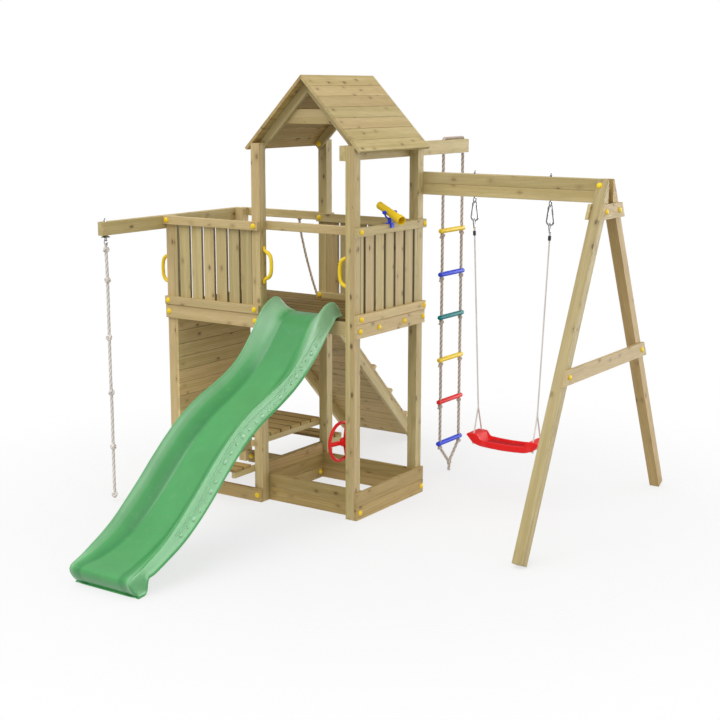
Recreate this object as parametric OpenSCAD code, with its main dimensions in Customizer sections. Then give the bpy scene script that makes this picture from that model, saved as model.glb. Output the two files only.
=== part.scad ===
// Wooden climbing frame: a roofed tower and an open extension, with a wavy slide, a swing on an
// A-frame, a rope ladder, a knotted climbing rope, a ramp, a table with benches and a sandbox.
// Millimetres, +Z up. The origin is the middle of the front right post's foot, +X runs along the
// swing beam and +Y to the rear.

/* [Frame] */
// Width of a square post
post_w = 70; // [60:1:76]
// Distance between post centres along the front
bay_w = 760; // [740:5:860]
// Distance between post centres from front to rear
bay_d = 762; // [740:1:860]
// Height of the tower posts
tower_h = 2447; // [2420:1:2600]
// Height of the top of the platform beams
platform_z = 1310; // [1260:5:1340]
// Height of the top of the rails above the platform beams
rail_rise = 621; // [580:1:660]

/* [Timber] */
// Thickness of boards, planks and slats
board_t = 20; // [16:1:24]
// Width of boards
board_w = 94; // [88:1:98]
// Thickness of rails and bearers
rail_t = 28; // [24:1:32]
// Height of rails
rail_h = 58; // [50:1:64]
// Chamfer along the long edges of planed timber
edge_c = 2.5; // [1:0.5:4]
// Gap between neighbouring planks
plank_gap = 4; // [2:0.5:8]

/* [Roof] */
// Width of the roof from eave to eave
roof_w = 926; // [910:2:980]
// Pitch of the roof in degrees
roof_pitch = 45.6; // [44:0.1:47]
// Drop of the eaves below the post tops
eave_drop = 33; // [25:1:40]
// Boards on each slope
roof_rows = 7; // [6:1:8]
// Distance from the lower end of a rafter to the eave, along the slope
rafter_back = 26; // [15:1:40]
// Height of the collar ties above the post tops
tie_rise = 127; // [110:1:150]

/* [Railing] */
// Full slats on the right side
side_slats = 5; // [4:1:6]
// Width of the end strips on the right side
side_strip = 37.5; // [30:0.5:45]
// Gap between the slats of the right side
side_gap = 22; // [15:1:30]
// Full slats on the front of the extension
front_slats = 6; // [5:1:7]
// Width of the strip beside the left post
front_strip = 33; // [25:1:40]
// Gap between the front slats
front_gap = 17.5; // [12:0.5:25]
// Slats on the rear of the tower
rear_slats = 6; // [5:1:7]
// Gap between the rear slats
rear_gap = 18; // [12:1:25]

/* [Table and benches] */
// Height of the table top
table_z = 443; // [420:1:470]
// Height of the bench tops
bench_z = 265; // [250:1:290]
// Reach of the bench bearers beyond the posts
bench_reach = 215; // [205:1:240]
// Slats in the table top
table_rows = 6; // [5:1:7]
// Gap between the slats of the table and of the benches
slat_gap = 16; // [10:1:20]
// Height of the bearers under the slats
bearer_h = 40; // [34:1:50]

/* [Ramp] */
// Distance from the rear posts to the foot of the ramp
ramp_run = 1353; // [1250:1:1450]
// Depth of the stringers under the planks
stringer_h = 76; // [65:1:85]
// Cleats across the ramp
cleat_count = 5; // [4:1:6]
// Side of a square cleat
cleat_w = 30; // [24:1:36]

/* [Slide] */
// Width over the lower edges of the side walls
slide_w = 506; // [480:1:540]
// Width of the sliding bed
slide_bed_w = 224; // [200:1:250]
// Height of the side walls
slide_wall = 112; // [90:1:130]
// Thickness of the moulded shell
slide_t = 6; // [5:0.5:8]
// Length of the slide on plan
slide_run = 2030; // [1900:5:2150]
// Height of the bed above the ground at the foot
slide_foot_z = 100; // [90:1:120]
// Shift of the slide from the middle of the bay
slide_shift = -20; // [-40:1:20]

/* [Swing] */
// Height of the top of the swing beam
swing_top_z = 2245; // [2150:1:2320]
// Length of the swing beam
swing_beam_l = 1397; // [1350:1:1500]
// Height of each of the two swing beam timbers
swing_timber_h = 75; // [65:1:85]
// Distance between the inner corners of the leg feet
leg_spread = 2050; // [1950:1:2200]
// Height of the underside of the leg brace
brace_z = 1029; // [900:1:1150]
// Distance from the front right post to the middle of the swing
swing_x = 696; // [670:1:730]
// Distance between the eyebolts of the swing
eye_gap = 558; // [520:1:600]
// Distance between the ropes at the seat
seat_rope_gap = 450; // [430:1:480]
// Length of the seat
seat_l = 542; // [530:1:580]
// Depth of the seat from front to rear
seat_w = 155; // [140:1:180]
// Height of the seat rim above the ground
seat_z = 440; // [400:1:480]
// Diameter of the swing ropes
swing_rope_d = 10; // [8:0.5:12]

/* [Rope ladder] */
// Length of the ladder beam
ladder_beam_l = 1566; // [1500:1:1650]
// Distance between the ladder ropes
ladder_w = 270; // [250:1:300]
// Length of a rung
rung_l = 348; // [330:1:380]
// Diameter of a rung
rung_d = 29; // [27:0.5:34]
// Distance from rung to rung
rung_pitch = 312; // [290:1:320]
// Diameter of the ladder ropes
ladder_rope_d = 18; // [14:0.5:20]

/* [Climbing rope] */
// Length of the rope beam
rope_beam_l = 1449; // [1400:1:1500]
// Diameter of the climbing rope
climb_rope_d = 20; // [16:0.5:24]

/* [Fittings] */
// Thickness of the ladder beam and the rope beam
beam_t = 45; // [40:1:50]
// Height of the ladder beam
ladder_beam_h = 95; // [88:1:105]
// Height of the rope beam
rope_beam_h = 91; // [85:1:100]
// Diameter of a bolt cap
cap_d = 38; // [32:1:42]
// Length of a grab handle
handle_l = 250; // [230:1:270]
// Reach of a grab handle from its post
handle_out = 80; // [72:1:90]
// Radius of the steering wheel over the rim
wheel_r = 138; // [125:1:150]
// Height of the middle of the steering wheel
wheel_z = 514; // [480:1:560]
// Length of the telescope tube
scope_l = 264; // [230:1:290]
// Diameter of the telescope at its wide end
scope_d = 62; // [58:1:64]

/* [Hidden] */
$fn = 32;

// Colours
pine = "tan";
pale_pine = "burlywood";
dark_pine = "peru";
rope_tint = "antiquewhite";
steel = "silver";

// Gap between seated faces, running clearance of a pin, and overrun of a cut
fit = 0.3;
run_fit = 0.05;
over = 5;

// Shares of the wire or rope that a bend and a splice are wide
bend_share = 1.1;
splice_share = 1.3;

// Post faces
half_post = post_w / 2;
front_face = -half_post;
front_inner = half_post;
rear_inner = bay_d - half_post;
rear_face = bay_d + half_post;
right_face = half_post;
right_inner = -half_post;
mid_x = -bay_w;
mid_right = mid_x + half_post;
mid_left = mid_x - half_post;
left_x = -2 * bay_w;
left_right = left_x + half_post;
left_face = left_x - half_post;

// Heights
floor_z = platform_z + board_t;
beam_low = platform_z - board_w;
rail_top = platform_z + rail_rise;
rail_lift = 2;
low_rail_z = platform_z + rail_lift;
beam_drop = 2;
ladder_top = tower_h - beam_drop;
ladder_low = ladder_top - ladder_beam_h;
rope_low = rail_top - rope_beam_h;

// Roof
roof_cx = -bay_w / 2;
roof_half = roof_w / 2;
slope_l = roof_half / cos(roof_pitch);
ridge_z = tower_h - eave_drop + roof_half * tan(roof_pitch);
under_drop = board_t / cos(roof_pitch) + fit;
row_w = slope_l / roof_rows;
row_gap = 0.4;

// Planks of the floor
floor_rows = 7;
floor_pitch = (rear_inner - rail_t - front_inner) / floor_rows;

// Ramp
ramp_rise = floor_z;
ramp_angle = atan2(ramp_rise, ramp_run);
ramp_l = norm([ramp_run, ramp_rise]);
ramp_plank_rows = 19;
ramp_pitch = ramp_l / ramp_plank_rows;
first_cleat_share = 0.135;
cleat_step_share = 0.173;

// Wall on the left, counted down from the platform
wall_rows = 13;

// Swing frame
swing_low_z = swing_top_z - 2 * swing_timber_h;
swing_y = rear_face + half_post;
leg_back = 42;
leg_x = right_inner + swing_beam_l - leg_back;
cheek_h = 138;
leg_lean = atan2(leg_spread / 2 - half_post, swing_top_z - cheek_h);
leg_outer = post_w / cos(leg_lean);
tie_proud = 20;

// Eyebolts and links of the swing
eye_r = 17;
eye_wire = 10;
eye_seat = 1;
eye_z = swing_low_z - eye_r - eye_wire / 2 - eye_seat;
eye_shank_d = 12;
hook_wire = 8;
hook_top_r = 12;
hook_low_r = 22;
hook_l = 138;
pivot_z = eye_z - eye_r + eye_wire / 2 + hook_wire / 2 + fit;
eye_xs = [swing_x - eye_gap / 2, swing_x + eye_gap / 2];

// Swing ropes and seat
loop_r = 13;
loop_l = 58;
loop_z = pivot_z - hook_l + 3 * hook_wire / 2 + fit - loop_r + swing_rope_d / 2;
rope_top_z = loop_z - loop_l;
strand_rise = 225;
split_z = seat_z + strand_rise;
ferrule_d = 21;
ferrule_l = 30;
strand_spread = 48;
block_rise = 62;
block_top_z = seat_z + block_rise;
seat_deep = 40;
seat_low_z = seat_z - seat_deep;
strand_depth = 30;

// Rope ladder
ladder_x = right_inner - beam_t / 2;
ladder_end = 46;
ladder_y1 = front_face + ladder_beam_l - ladder_end;
ladder_y0 = ladder_y1 - ladder_w;
ladder_ys = [ladder_y0, ladder_y1];
ladder_mid = (ladder_y0 + ladder_y1) / 2;
ladder_pivot_z = ladder_low - ladder_rope_d / 2 - fit;
rung_count = 6;
low_rung_z = 245;
rung_zs = [for (i = [rung_count - 1 : -1 : 0]) low_rung_z + i * rung_pitch];
knot_d = 34;
tip_z = 75;
tail_z = 12;

// Climbing rope
rope_x = left_face - beam_t / 2;
rope_beam_y = rear_face - rope_beam_l;
rope_end = 47;
rope_y = rope_beam_y + rope_end;
cup_d = 64;
cup_h = 14;
rope_eye_r = 10;
rope_eye_wire = 7;
rope_eye_z = rope_low - cup_h - rope_eye_r - rope_eye_wire / 2;
shackle_wire = 6;
shackle_r = 14;
shackle_l = 38;
shackle_z = rope_eye_z - rope_eye_r + rope_eye_wire / 2 + shackle_wire / 2 + fit;
rope_loop_r = 10;
rope_loop_d = 9;
rope_loop_z = shackle_z - shackle_l + 3 * shackle_wire / 2 + fit - rope_loop_r + rope_loop_d / 2;

// Steering wheel
rim_d = 22;
wheel_off = 60;
hub_off = 32;
wheel_dish = wheel_off - hub_off;
wheel_x = right_inner - wheel_off;
hub_d = 72;
hub_l = 34;
spoke_w = 30;
spoke_t = 15;
pin_d = 12;

// Telescope
scope_x = right_face + rail_t / 2;
scope_forward = 26;
scope_y = bay_d / 2 - scope_forward;
scope_pan = -20.5;
scope_tilt = 19;
scope_rise = 74;
scope_z = rail_top + scope_rise;
disc_d = 60;
disc_h = 5;
fork_r = 40;
fork_d = 12;
fork_hub_d = 28;
trunnion_d = 12;

// Grab handles
bar_d = 26;
handle_drop = 291;
handle_z = rail_top - handle_drop;
wall_handle_drop = 376;
wall_handle_z = rail_top - wall_handle_drop;

// Routes of the free ropes
climb_route = [[-1578, -605, 1760], [-1578, -605, 1710], [-1577, -604, 1650], [-1577, -603, 1600],
    [-1576, -603, 1540], [-1575, -604, 1480], [-1574, -605, 1400], [-1574, -606, 1300], [-1574, -606, 1220],
    [-1575, -606, 1150], [-1576, -605, 1080], [-1577, -604, 980], [-1577, -604, 870], [-1576, -603, 770],
    [-1575, -603, 680], [-1574, -604, 580], [-1574, -605, 480], [-1574, -605, 390], [-1575, -605, 300],
    [-1576, -604, 200], [-1576, -604, 110], [-1575, -604, 28]];
climb_knot_zs = [1744, 1540, 1150, 770, 390, 52];
ramp_route = [[-1050, 844, 1896], [-1050, 845, 1872], [-1049, 847, 1840], [-1046, 851, 1795],
    [-1042, 858, 1745], [-1038, 872, 1690], [-1036, 890, 1630], [-1034, 914, 1560], [-1033, 942, 1490],
    [-1033, 976, 1410], [-1034, 1014, 1335], [-1036, 1056, 1254], [-1038, 1100, 1170], [-1041, 1140, 1100],
    [-1044, 1180, 1036], [-1047, 1222, 978], [-1050, 1262, 928], [-1052, 1298, 884], [-1054, 1330, 844],
    [-1055, 1362, 806], [-1056, 1392, 771], [-1056, 1415, 744]];

// Stations of the slide from the platform to the foot lip, as shares of its run, drop, wall height and
// crest width, and of how far the skirt reaches back and down
slide_shares = [[0, 1, 0.3, 1, 0, 0.02], [0.022, 1, 0.72, 1, 0, 0.02], [0.04, 1.004, 0.9, 1, 0, 0.06],
    [0.06, 0.997, 0.92, 1, 0.1, 0.28], [0.09, 0.958, 0.86, 1, 0.24, 0.27],
    [0.134, 0.876, 0.8, 1, 0.24, 0.24], [0.195, 0.774, 0.76, 1, 0.17, 0.19],
    [0.259, 0.696, 0.78, 1, 0.11, 0.17], [0.338, 0.628, 0.88, 1, 0.07, 0.15],
    [0.418, 0.57, 0.96, 1, 0.07, 0.13], [0.483, 0.51, 1.01, 1, 0.07, 0.12],
    [0.547, 0.435, 1.04, 1, 0.09, 0.11], [0.612, 0.345, 1.05, 1, 0.1, 0.11],
    [0.677, 0.251, 1.03, 1, 0.1, 0.12], [0.736, 0.176, 0.97, 1, 0.1, 0.13],
    [0.796, 0.113, 0.83, 1, 0.09, 0.14], [0.856, 0.068, 0.65, 0.97, 0.1, 0.16],
    [0.915, 0.038, 0.46, 0.82, 0.24, 0.25], [0.95, 0.022, 0.32, 0.64, 0.38, 0.36],
    [0.972, 0.013, 0.2, 0.5, 0.62, 0.52], [0.987, 0.006, 0.12, 0.42, 0.9, 0.7],
    [0.997, -0.008, 0.07, 0.38, 1.04, 0.74], [1, -0.026, 0.05, 0.36, 0.98, 0.58],
    [0.994, -0.046, 0.04, 0.36, 0.74, 0.36], [0.98, -0.064, 0.04, 0.36, 0.4, 0.15],
    [0.964, -0.074, 0.04, 0.36, 0.06, 0.05]];
slide_x = roof_cx + slide_shift;
slide_in = 50;
slide_back = front_inner + slide_in;
slide_top_z = floor_z + slide_t + 2 * fit;
slide_drop = slide_top_z - slide_foot_z;
slide_steps = 2;
slide_skirt = 112;
bead_w = 10;
bead_h = 6;
crest_w = 30;

// Helpers

function unit(v) = v / norm(v);

// Point between rows b and c of a table, on a smooth curve through its neighbours
function smooth(t, i, u) =
    let (a = t[max(i - 1, 0)], b = t[i], c = t[min(i + 1, len(t) - 1)], d = t[min(i + 2, len(t) - 1)])
    b + u * (c - a) / 2 + u * u * (a - 5 * b / 2 + 2 * c - d / 2) + u * u * u * (3 * b - a - 3 * c + d) / 2;

function heading(p, i) = unit(p[min(i + 1, len(p) - 1)] - p[max(i - 1, 0)]);

function chamfered(a, b) = [[edge_c, 0], [a - edge_c, 0], [a, edge_c], [a, b - edge_c], [a - edge_c, b],
    [edge_c, b], [0, b - edge_c], [0, edge_c]];

// Turns that carry the extrusion direction to X, Y or Z
turns = [[90, 0, 90], [-90, -90, 0], [0, 0, 0]];

// A planed timber between two corners, with its long edges chamfered along axis 0, 1 or 2
module timber(low, high, run) {
    size = high - low;
    translate(low)
        rotate(turns[run])
            linear_extrude(size[run])
                polygon(chamfered(size[(run + 1) % 3], size[(run + 2) % 3]));
}

module block(low, high) {
    translate(low)
        cube(high - low);
}

// A round rod from one point to another
module rod(p, q, d) {
    v = q - p;
    translate(p)
        rotate([0, acos(v[2] / norm(v)), atan2(v[1], v[0])])
            cylinder(h = norm(v), d = d);
}

// A closed skin over rings of points that run anticlockwise, seen against the heading
module tube(points, radii, side, sides) {
    last = len(points) - 1;
    rings = [for (i = [0 : last])
        let (t = heading(points, i), a = unit(cross(side, t)), b = cross(t, a))
        for (k = [0 : sides - 1])
            points[i] + radii[i] * (a * cos(360 * k / sides) + b * sin(360 * k / sides))];
    walls = [for (i = [0 : last - 1], k = [0 : sides - 1])
        let (n = (k + 1) % sides, p = i * sides, q = p + sides)
        each [[p + k, q + k, q + n], [p + k, q + n, p + n]]];
    start = len(rings);
    ends = [for (k = [0 : sides - 1])
        let (n = (k + 1) % sides, q = last * sides)
        each [[start, k, n], [start + 1, q + n, q + k]]];
    polyhedron(concat(rings, [points[0], points[last]]), concat(walls, ends));
}

// A dome with a flat back, placed on a face
dome_share = 0.62;

module cap_at(p, facing) {
    translate(p)
        rotate(facing)
            rotate_extrude()
                intersection() {
                    scale([1, dome_share])
                        circle(d = cap_d);
                    square(cap_d);
                }
}

to_front = [90, 0, 0];
to_rear = [-90, 0, 0];
to_right = [0, 90, 0];
to_left = [0, -90, 0];

// Posts

module square_post(x, y, h) {
    timber([x - half_post, y - half_post, 0], [x + half_post, y + half_post, h], 2);
}

// The space above the underside of the roof boards
module roof_space() {
    peak = ridge_z - under_drop;
    side_z = peak - roof_half * tan(roof_pitch);
    translate([roof_cx, rear_face + over, 0])
        rotate([90, 0, 0])
            linear_extrude(bay_d + post_w + 2 * over)
                polygon([[0, peak], [roof_half, side_z], [roof_half, ridge_z + over],
                    [-roof_half, ridge_z + over], [-roof_half, side_z]]);
}

module tower_post(x, y) {
    color(pine)
        difference() {
            square_post(x, y, tower_h);
            roof_space();
        }
}

module post_front_right() {
    tower_post(0, 0);
}

module post_rear_right() {
    tower_post(0, bay_d);
}

module post_front_middle() {
    tower_post(mid_x, 0);
}

module post_rear_middle() {
    tower_post(mid_x, bay_d);
}

module post_front_left() {
    color(pine)
        square_post(left_x, 0, rail_top);
}

module post_rear_left() {
    color(pine)
        square_post(left_x, bay_d, rail_top);
}

// Roof

// A timber laid on a slope: u runs down the slope from the ridge, n goes in from the outer surface
module slope_timber(hand, us, ys, ns, run) {
    zs = hand > 0 ? [-ns[1], -ns[0]] : ns;
    translate([roof_cx, 0, ridge_z])
        rotate([0, hand > 0 ? roof_pitch : 180 - roof_pitch, 0])
            timber([us[0], ys[0], zs[0]], [us[1], ys[1], zs[1]], run);
}

// The other side of the ridge, cut away for the mitre
module past_ridge(hand) {
    xs = hand > 0 ? [roof_cx - roof_half, roof_cx + fit] : [roof_cx - fit, roof_cx + roof_half];
    block([xs[0], front_face - over, tower_h - roof_half], [xs[1], rear_face + over, ridge_z + over]);
}

module roof_slope(hand) {
    color(pale_pine)
        difference() {
            for (i = [0 : roof_rows - 1])
                slope_timber(hand, [i * row_w, (i + 1) * row_w - row_gap],
                    [front_face, rear_face], [0, board_t], 1);
            past_ridge(hand);
        }
}

module roof_boards_left() {
    roof_slope(-1);
}

module roof_boards_right() {
    roof_slope(1);
}

module ladder_beam_space() {
    block([right_inner - beam_t - fit, front_face - over, ladder_low - fit],
        [right_inner + fit, rear_face + over, ladder_top + fit]);
}

module rafter(hand, y) {
    difference() {
        slope_timber(hand, [0, slope_l - rafter_back], [y, y + rail_t],
            [board_t + fit, board_t + fit + rail_h], 0);
        past_ridge(hand);
        ladder_beam_space();
    }
}

module rafters() {
    color(pine)
        for (y = [front_inner, rear_inner - rail_t], hand = [-1, 1])
            rafter(hand, y);
}

module collar_ties() {
    low_z = tower_h + tie_rise;
    color(dark_pine)
        for (y = [front_inner + rail_t, rear_inner - rail_t - board_t])
            difference() {
                timber([roof_cx - roof_half, y, low_z],
                    [roof_cx + roof_half, y + board_t, low_z + board_w], 0);
                roof_space();
            }
}

// Platform

module platform_beams() {
    color(pine) {
        timber([left_face, front_face - board_t, beam_low], [mid_right, front_face, platform_z], 0);
        timber([right_face, front_face, beam_low], [right_face + board_t, rear_face, platform_z], 1);
        for (y = [front_inner, rear_inner - board_t])
            timber([mid_left, y, beam_low], [right_face - fit, y + board_t, platform_z], 0);
        timber([left_right, rear_face - board_t, beam_low], [mid_left, rear_face, platform_z], 0);
        timber([left_right, front_face + fit, beam_low],
            [left_right + board_t, rear_face - board_t - fit, platform_z], 1);
    }
}

module floor_joists() {
    ys = [front_inner + board_t, rear_inner - board_t];
    color(dark_pine) {
        for (x = [right_inner - rail_t, mid_right])
            timber([x, ys[0], platform_z - rail_h], [x + rail_t, ys[1], platform_z], 1);
        timber([mid_left - rail_t, front_face, platform_z - rail_h],
            [mid_left, rear_face - board_t, platform_z], 1);
    }
}

module floor_planks() {
    color(pine) {
        for (i = [0 : floor_rows - 1])
            timber([left_right, front_inner + i * floor_pitch, platform_z],
                [right_face, front_inner + (i + 1) * floor_pitch - plank_gap, floor_z], 0);
        timber([left_right + fit, front_face, platform_z],
            [mid_left - fit, front_inner - plank_gap, floor_z], 0);
        timber([left_right + fit, rear_inner - rail_t, platform_z], [mid_left - fit, rear_face, floor_z], 0);
    }
}

// Railing

module rail_pair_x(x0, x1, y) {
    for (z = [low_rail_z, rail_top - rail_h])
        timber([x0, y, z], [x1, y + rail_t, z + rail_h], 0);
}

module rails_front() {
    color(pale_pine)
        rail_pair_x(left_face, mid_right, front_face - rail_t);
}

module rails_rear() {
    color(pine)
        rail_pair_x(mid_left, right_face - board_t - fit, rear_inner - rail_t);
}

module rails_right() {
    color(pale_pine)
        for (z = [low_rail_z, rail_top - rail_h])
            timber([right_face, front_face, z], [right_face + rail_t, rear_face, z + rail_h], 1);
}

slat_top = rail_top - rail_h / 8;

module slats_front() {
    span = mid_left - left_right;
    slat_w = (span - front_strip - front_slats * front_gap) / front_slats;
    ys = [front_face, front_face + board_t];
    color(pine) {
        timber([left_right, ys[0], floor_z], [left_right + front_strip, ys[1], slat_top], 2);
        for (i = [0 : front_slats - 1]) {
            x = left_right + front_strip + front_gap + i * (slat_w + front_gap);
            timber([x, ys[0], floor_z], [x + slat_w, ys[1], slat_top], 2);
        }
    }
}

module slats_right() {
    span = rear_inner - front_inner;
    slat_w = (span - 2 * side_strip - (side_slats + 1) * side_gap) / side_slats;
    xs = [right_face - board_t, right_face];
    color(pale_pine) {
        for (y = [front_inner, rear_inner - side_strip])
            timber([xs[0], y, floor_z], [xs[1], y + side_strip, slat_top], 2);
        for (i = [0 : side_slats - 1]) {
            y = front_inner + side_strip + side_gap + i * (slat_w + side_gap);
            timber([xs[0], y, floor_z], [xs[1], y + slat_w, slat_top], 2);
        }
    }
}

module slats_rear() {
    span = right_inner - mid_right;
    slat_w = (span - (rear_slats - 1) * rear_gap) / rear_slats;
    color(pine)
        for (i = [0 : rear_slats - 1]) {
            x = mid_right + i * (slat_w + rear_gap);
            timber([x, rear_inner, floor_z], [x + slat_w, rear_inner + board_t, slat_top], 2);
        }
}

// Bar over the slide and rail over the ramp
module cross_rails() {
    color(pine) {
        timber([mid_left, front_inner, rail_top - rail_h],
            [right_face - board_t - fit, front_inner + rail_t, rail_top], 0);
        timber([left_face, rear_face, rail_top - rail_h], [mid_right, rear_face + rail_t, rail_top], 0);
    }
}

// Walls and boards near the ground

module wall_planks() {
    color(dark_pine)
        for (i = [1 : wall_rows - 1])
            timber([left_right, front_face, platform_z - (i + 1) * board_w],
                [left_right + board_t, rear_face - board_t, platform_z - i * board_w - row_gap], 1);
}

module ground_boards() {
    color(dark_pine) {
        timber([left_face, front_face - board_t, 0], [mid_right, front_face, board_w], 0);
        timber([left_right + board_t, rear_inner, 0], [mid_left, rear_inner + board_t, board_w], 0);
    }
}

module sandbox_boards() {
    inner_ys = [front_inner + board_t + fit, rear_inner - board_t - fit];
    left_xs = [mid_x - board_t / 2, mid_x + board_t / 2];
    left_board_w = board_w * 11 / 12;
    color(pine) {
        for (i = [0, 1]) {
            z = i * board_w;
            timber([right_face, front_face, z], [right_face + board_t, rear_face, z + board_w - row_gap], 1);
            for (y = [front_inner, rear_inner - board_t])
                timber([mid_left, y, z], [right_face - fit, y + board_t, z + board_w - row_gap], 0);
        }
        for (i = [0 : 2])
            timber([left_xs[0], inner_ys[0], i * left_board_w],
                [left_xs[1], inner_ys[1], (i + 1) * left_board_w - row_gap], 1);
    }
}

// Table and benches

table_xs = [left_right + board_t, mid_left];
bearer_xs = [left_right + board_t, mid_left - rail_t];

module table_slats() {
    pitch = (rear_inner - front_inner + slat_gap) / table_rows;
    color(pine)
        for (i = [0 : table_rows - 1]) {
            y = front_inner + i * pitch;
            timber([table_xs[0], y, table_z - board_t], [table_xs[1], y + pitch - slat_gap, table_z], 0);
        }
}

module bench_slats() {
    reach = bench_reach - rail_t - rail_t / 3;
    slat_w = (reach - slat_gap) / 2;
    color(pine)
        for (y = [front_face - bench_reach, rear_face + bench_reach - reach], i = [0, 1]) {
            y0 = y + i * (slat_w + slat_gap);
            timber([table_xs[0], y0, bench_z - board_t], [table_xs[1], y0 + slat_w, bench_z], 0);
        }
}

module seat_bearers() {
    bench_low = bench_z - board_t - bearer_h;
    table_low = table_z - board_t - bearer_h;
    color(pine)
        for (x = bearer_xs) {
            timber([x, front_face - bench_reach, bench_low],
                [x + rail_t, rear_face + bench_reach, bench_low + bearer_h], 1);
            timber([x, front_face, table_low], [x + rail_t, rear_face - board_t, table_low + bearer_h], 1);
        }
}

// Ramp

// A place on the ramp: u runs down from the platform edge, n goes in from the walking surface
module on_ramp(u, n) {
    translate([0, rear_face, ramp_rise])
        rotate([-ramp_angle, 0, 0])
            translate([0, u, -n])
                children();
}

// The space that the ramp can fill: behind the posts and above the ground
module ramp_room() {
    block([left_face, rear_face, 0], [mid_right, rear_face + 2 * ramp_run, 2 * ramp_rise]);
}

module ramp_stringers() {
    xs = [left_right + fit, mid_left - rail_t - fit];
    color(pine)
        for (x = xs)
            intersection() {
                on_ramp(-ramp_pitch, board_t + stringer_h)
                    timber([x, 0, 0], [x + rail_t, ramp_l + 2 * ramp_pitch, stringer_h], 1);
                ramp_room();
            }
}

module ramp_planks() {
    color(dark_pine)
        intersection() {
            for (i = [0 : ramp_plank_rows])
                on_ramp(i * ramp_pitch - ramp_pitch / 4, board_t)
                    timber([left_right + fit, 0, 0],
                        [mid_left - fit, ramp_pitch - plank_gap / 4, board_t], 0);
            ramp_room();
        }
}

module ramp_cleats() {
    color(pine)
        for (i = [0 : cleat_count - 1])
            on_ramp((first_cleat_share + i * cleat_step_share) * ramp_l, 0)
                timber([left_right + fit, 0, 0], [mid_left - fit, cleat_w, cleat_w], 0);
}

// Beams

module ladder_beam() {
    hole_d = ladder_rope_d + 2 * fit;
    color(pine)
        difference() {
            timber([right_inner - beam_t, front_face, ladder_low],
                [right_inner, front_face + ladder_beam_l, ladder_top], 1);
            for (y = ladder_ys)
                translate([ladder_x, y, ladder_low - over])
                    cylinder(h = ladder_beam_h + 2 * over, d = hole_d);
        }
}

module rope_beam() {
    color(pine)
        difference() {
            timber([left_face - beam_t, rope_beam_y, rope_low], [left_face, rear_face, rail_top], 1);
            translate([rope_x, rope_y, rope_low - over])
                cylinder(h = rope_beam_h + 2 * over, d = eye_shank_d + 2 * run_fit);
        }
}

module swing_beam() {
    xs = [right_inner, right_inner + swing_beam_l];
    ys = [rear_face, rear_face + post_w];
    color(pine)
        difference() {
            for (i = [0, 1]) {
                z = swing_low_z + i * swing_timber_h;
                timber([xs[0], ys[0], z], [xs[1], ys[1], z + swing_timber_h - row_gap], 0);
            }
            for (x = eye_xs)
                translate([x, swing_y, swing_low_z - over])
                    cylinder(h = 2 * swing_timber_h + 2 * over, d = eye_shank_d + 2 * run_fit);
        }
}

// Swing legs

// Side view of the front leg: from the foot's inner corner up to the cheek on the beam
function leg_outline() =
    let (foot = swing_y - leg_spread / 2,
        lean = tan(leg_lean),
        meet_z = (rear_face - foot) / lean,
        back = post_w * cos(leg_lean),
        lift = post_w * sin(leg_lean),
        top_y = foot - back + (swing_top_z - lift) * lean)
    [[foot, 0], [rear_face, meet_z], [rear_face, swing_top_z], [top_y, swing_top_z], [foot - back, lift]];

module leg_solid() {
    translate([leg_x, 0, 0])
        rotate([90, 0, 90])
            linear_extrude(post_w)
                polygon(leg_outline());
}

module swing_leg_front() {
    color(pine)
        leg_solid();
}

module swing_leg_rear() {
    color(pine)
        translate([0, 2 * swing_y, 0])
            mirror([0, 1, 0])
                leg_solid();
}

// A board across the legs, its ends cut along their outer faces
module leg_board(x, z0, z1) {
    lean = tan(leg_lean);
    half_at_ground = leg_spread / 2 + leg_outer + tie_proud;
    w0 = half_at_ground - z0 * lean;
    w1 = half_at_ground - z1 * lean;
    translate([x, swing_y, 0])
        rotate([90, 0, 90])
            linear_extrude(board_t)
                polygon([[-w0, z0], [w0, z0], [w1, z1], [-w1, z1]]);
}

module leg_ties() {
    tie_zs = [swing_low_z - board_w, swing_low_z];
    color(pale_pine) {
        leg_board(leg_x - board_t, tie_zs[0], tie_zs[1]);
        leg_board(leg_x + post_w, tie_zs[0], tie_zs[1]);
        leg_board(leg_x + post_w, brace_z, brace_z + board_w);
    }
}

// Slide

function slide_rows() = [for (i = [0 : len(slide_shares) - 2], j = [0 : slide_steps - 1])
    smooth(slide_shares, i, j / slide_steps)];

slide_table = concat(slide_rows(), [slide_shares[len(slide_shares) - 1]]);

function slide_point(row) = [0, slide_back - row[0] * slide_run, slide_foot_z + row[1] * slide_drop];

slide_line = [for (row = slide_table) slide_point(row)];

// Shares of the wall's width and height along its inner face, and of the crest's width and height
wall_shares = [[0, 0.02], [0.22, 0.1], [0.46, 0.36], [0.68, 0.7], [0.86, 0.93], [1, 1]];
crest_shares = [[0.3, 0.96], [0.5, 0.84]];

// Shares of the shell thickness from each point of the upper outline to the one under it
shell_shares = [[0, -1], [0.1, -1], [0.4, -0.95], [0.75, -0.75], [0.8, -0.65], [0.45, -0.9], [0, -1],
    [-0.4, -0.95], [-0.9, -0.5]];

// Half width at the skirt, drawn in a little towards the foot
function hip(inset_share) = slide_w / 2 - (1 - inset_share) * crest_w * 3 / 4;

// Half of the upper outline across the slide, from the bed over the wall to the crest
function upper_half(w, inset_share) =
    let (inset = crest_w * inset_share,
        crest = hip(inset_share) - inset,
        bed = slide_bed_w / 2 + (1 - inset_share) * 2 * crest_w,
        k = crest - bed)
    concat([[bed / 2, 0]], [for (q = wall_shares) [bed + q[0] * k, q[1] * w]],
        [for (q = crest_shares) [crest + q[0] * inset, q[1] * w]]);

function lower_half(w, inset_share) =
    let (u = upper_half(w, inset_share))
    [for (i = [0 : len(u) - 1]) u[i] + slide_t * shell_shares[i]];

// A half outline on the right or the left, set up at a station
function placed(half, at, up, hand) = [for (q = half) at + [hand * q[0], 0, 0] + q[1] * up];

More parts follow.
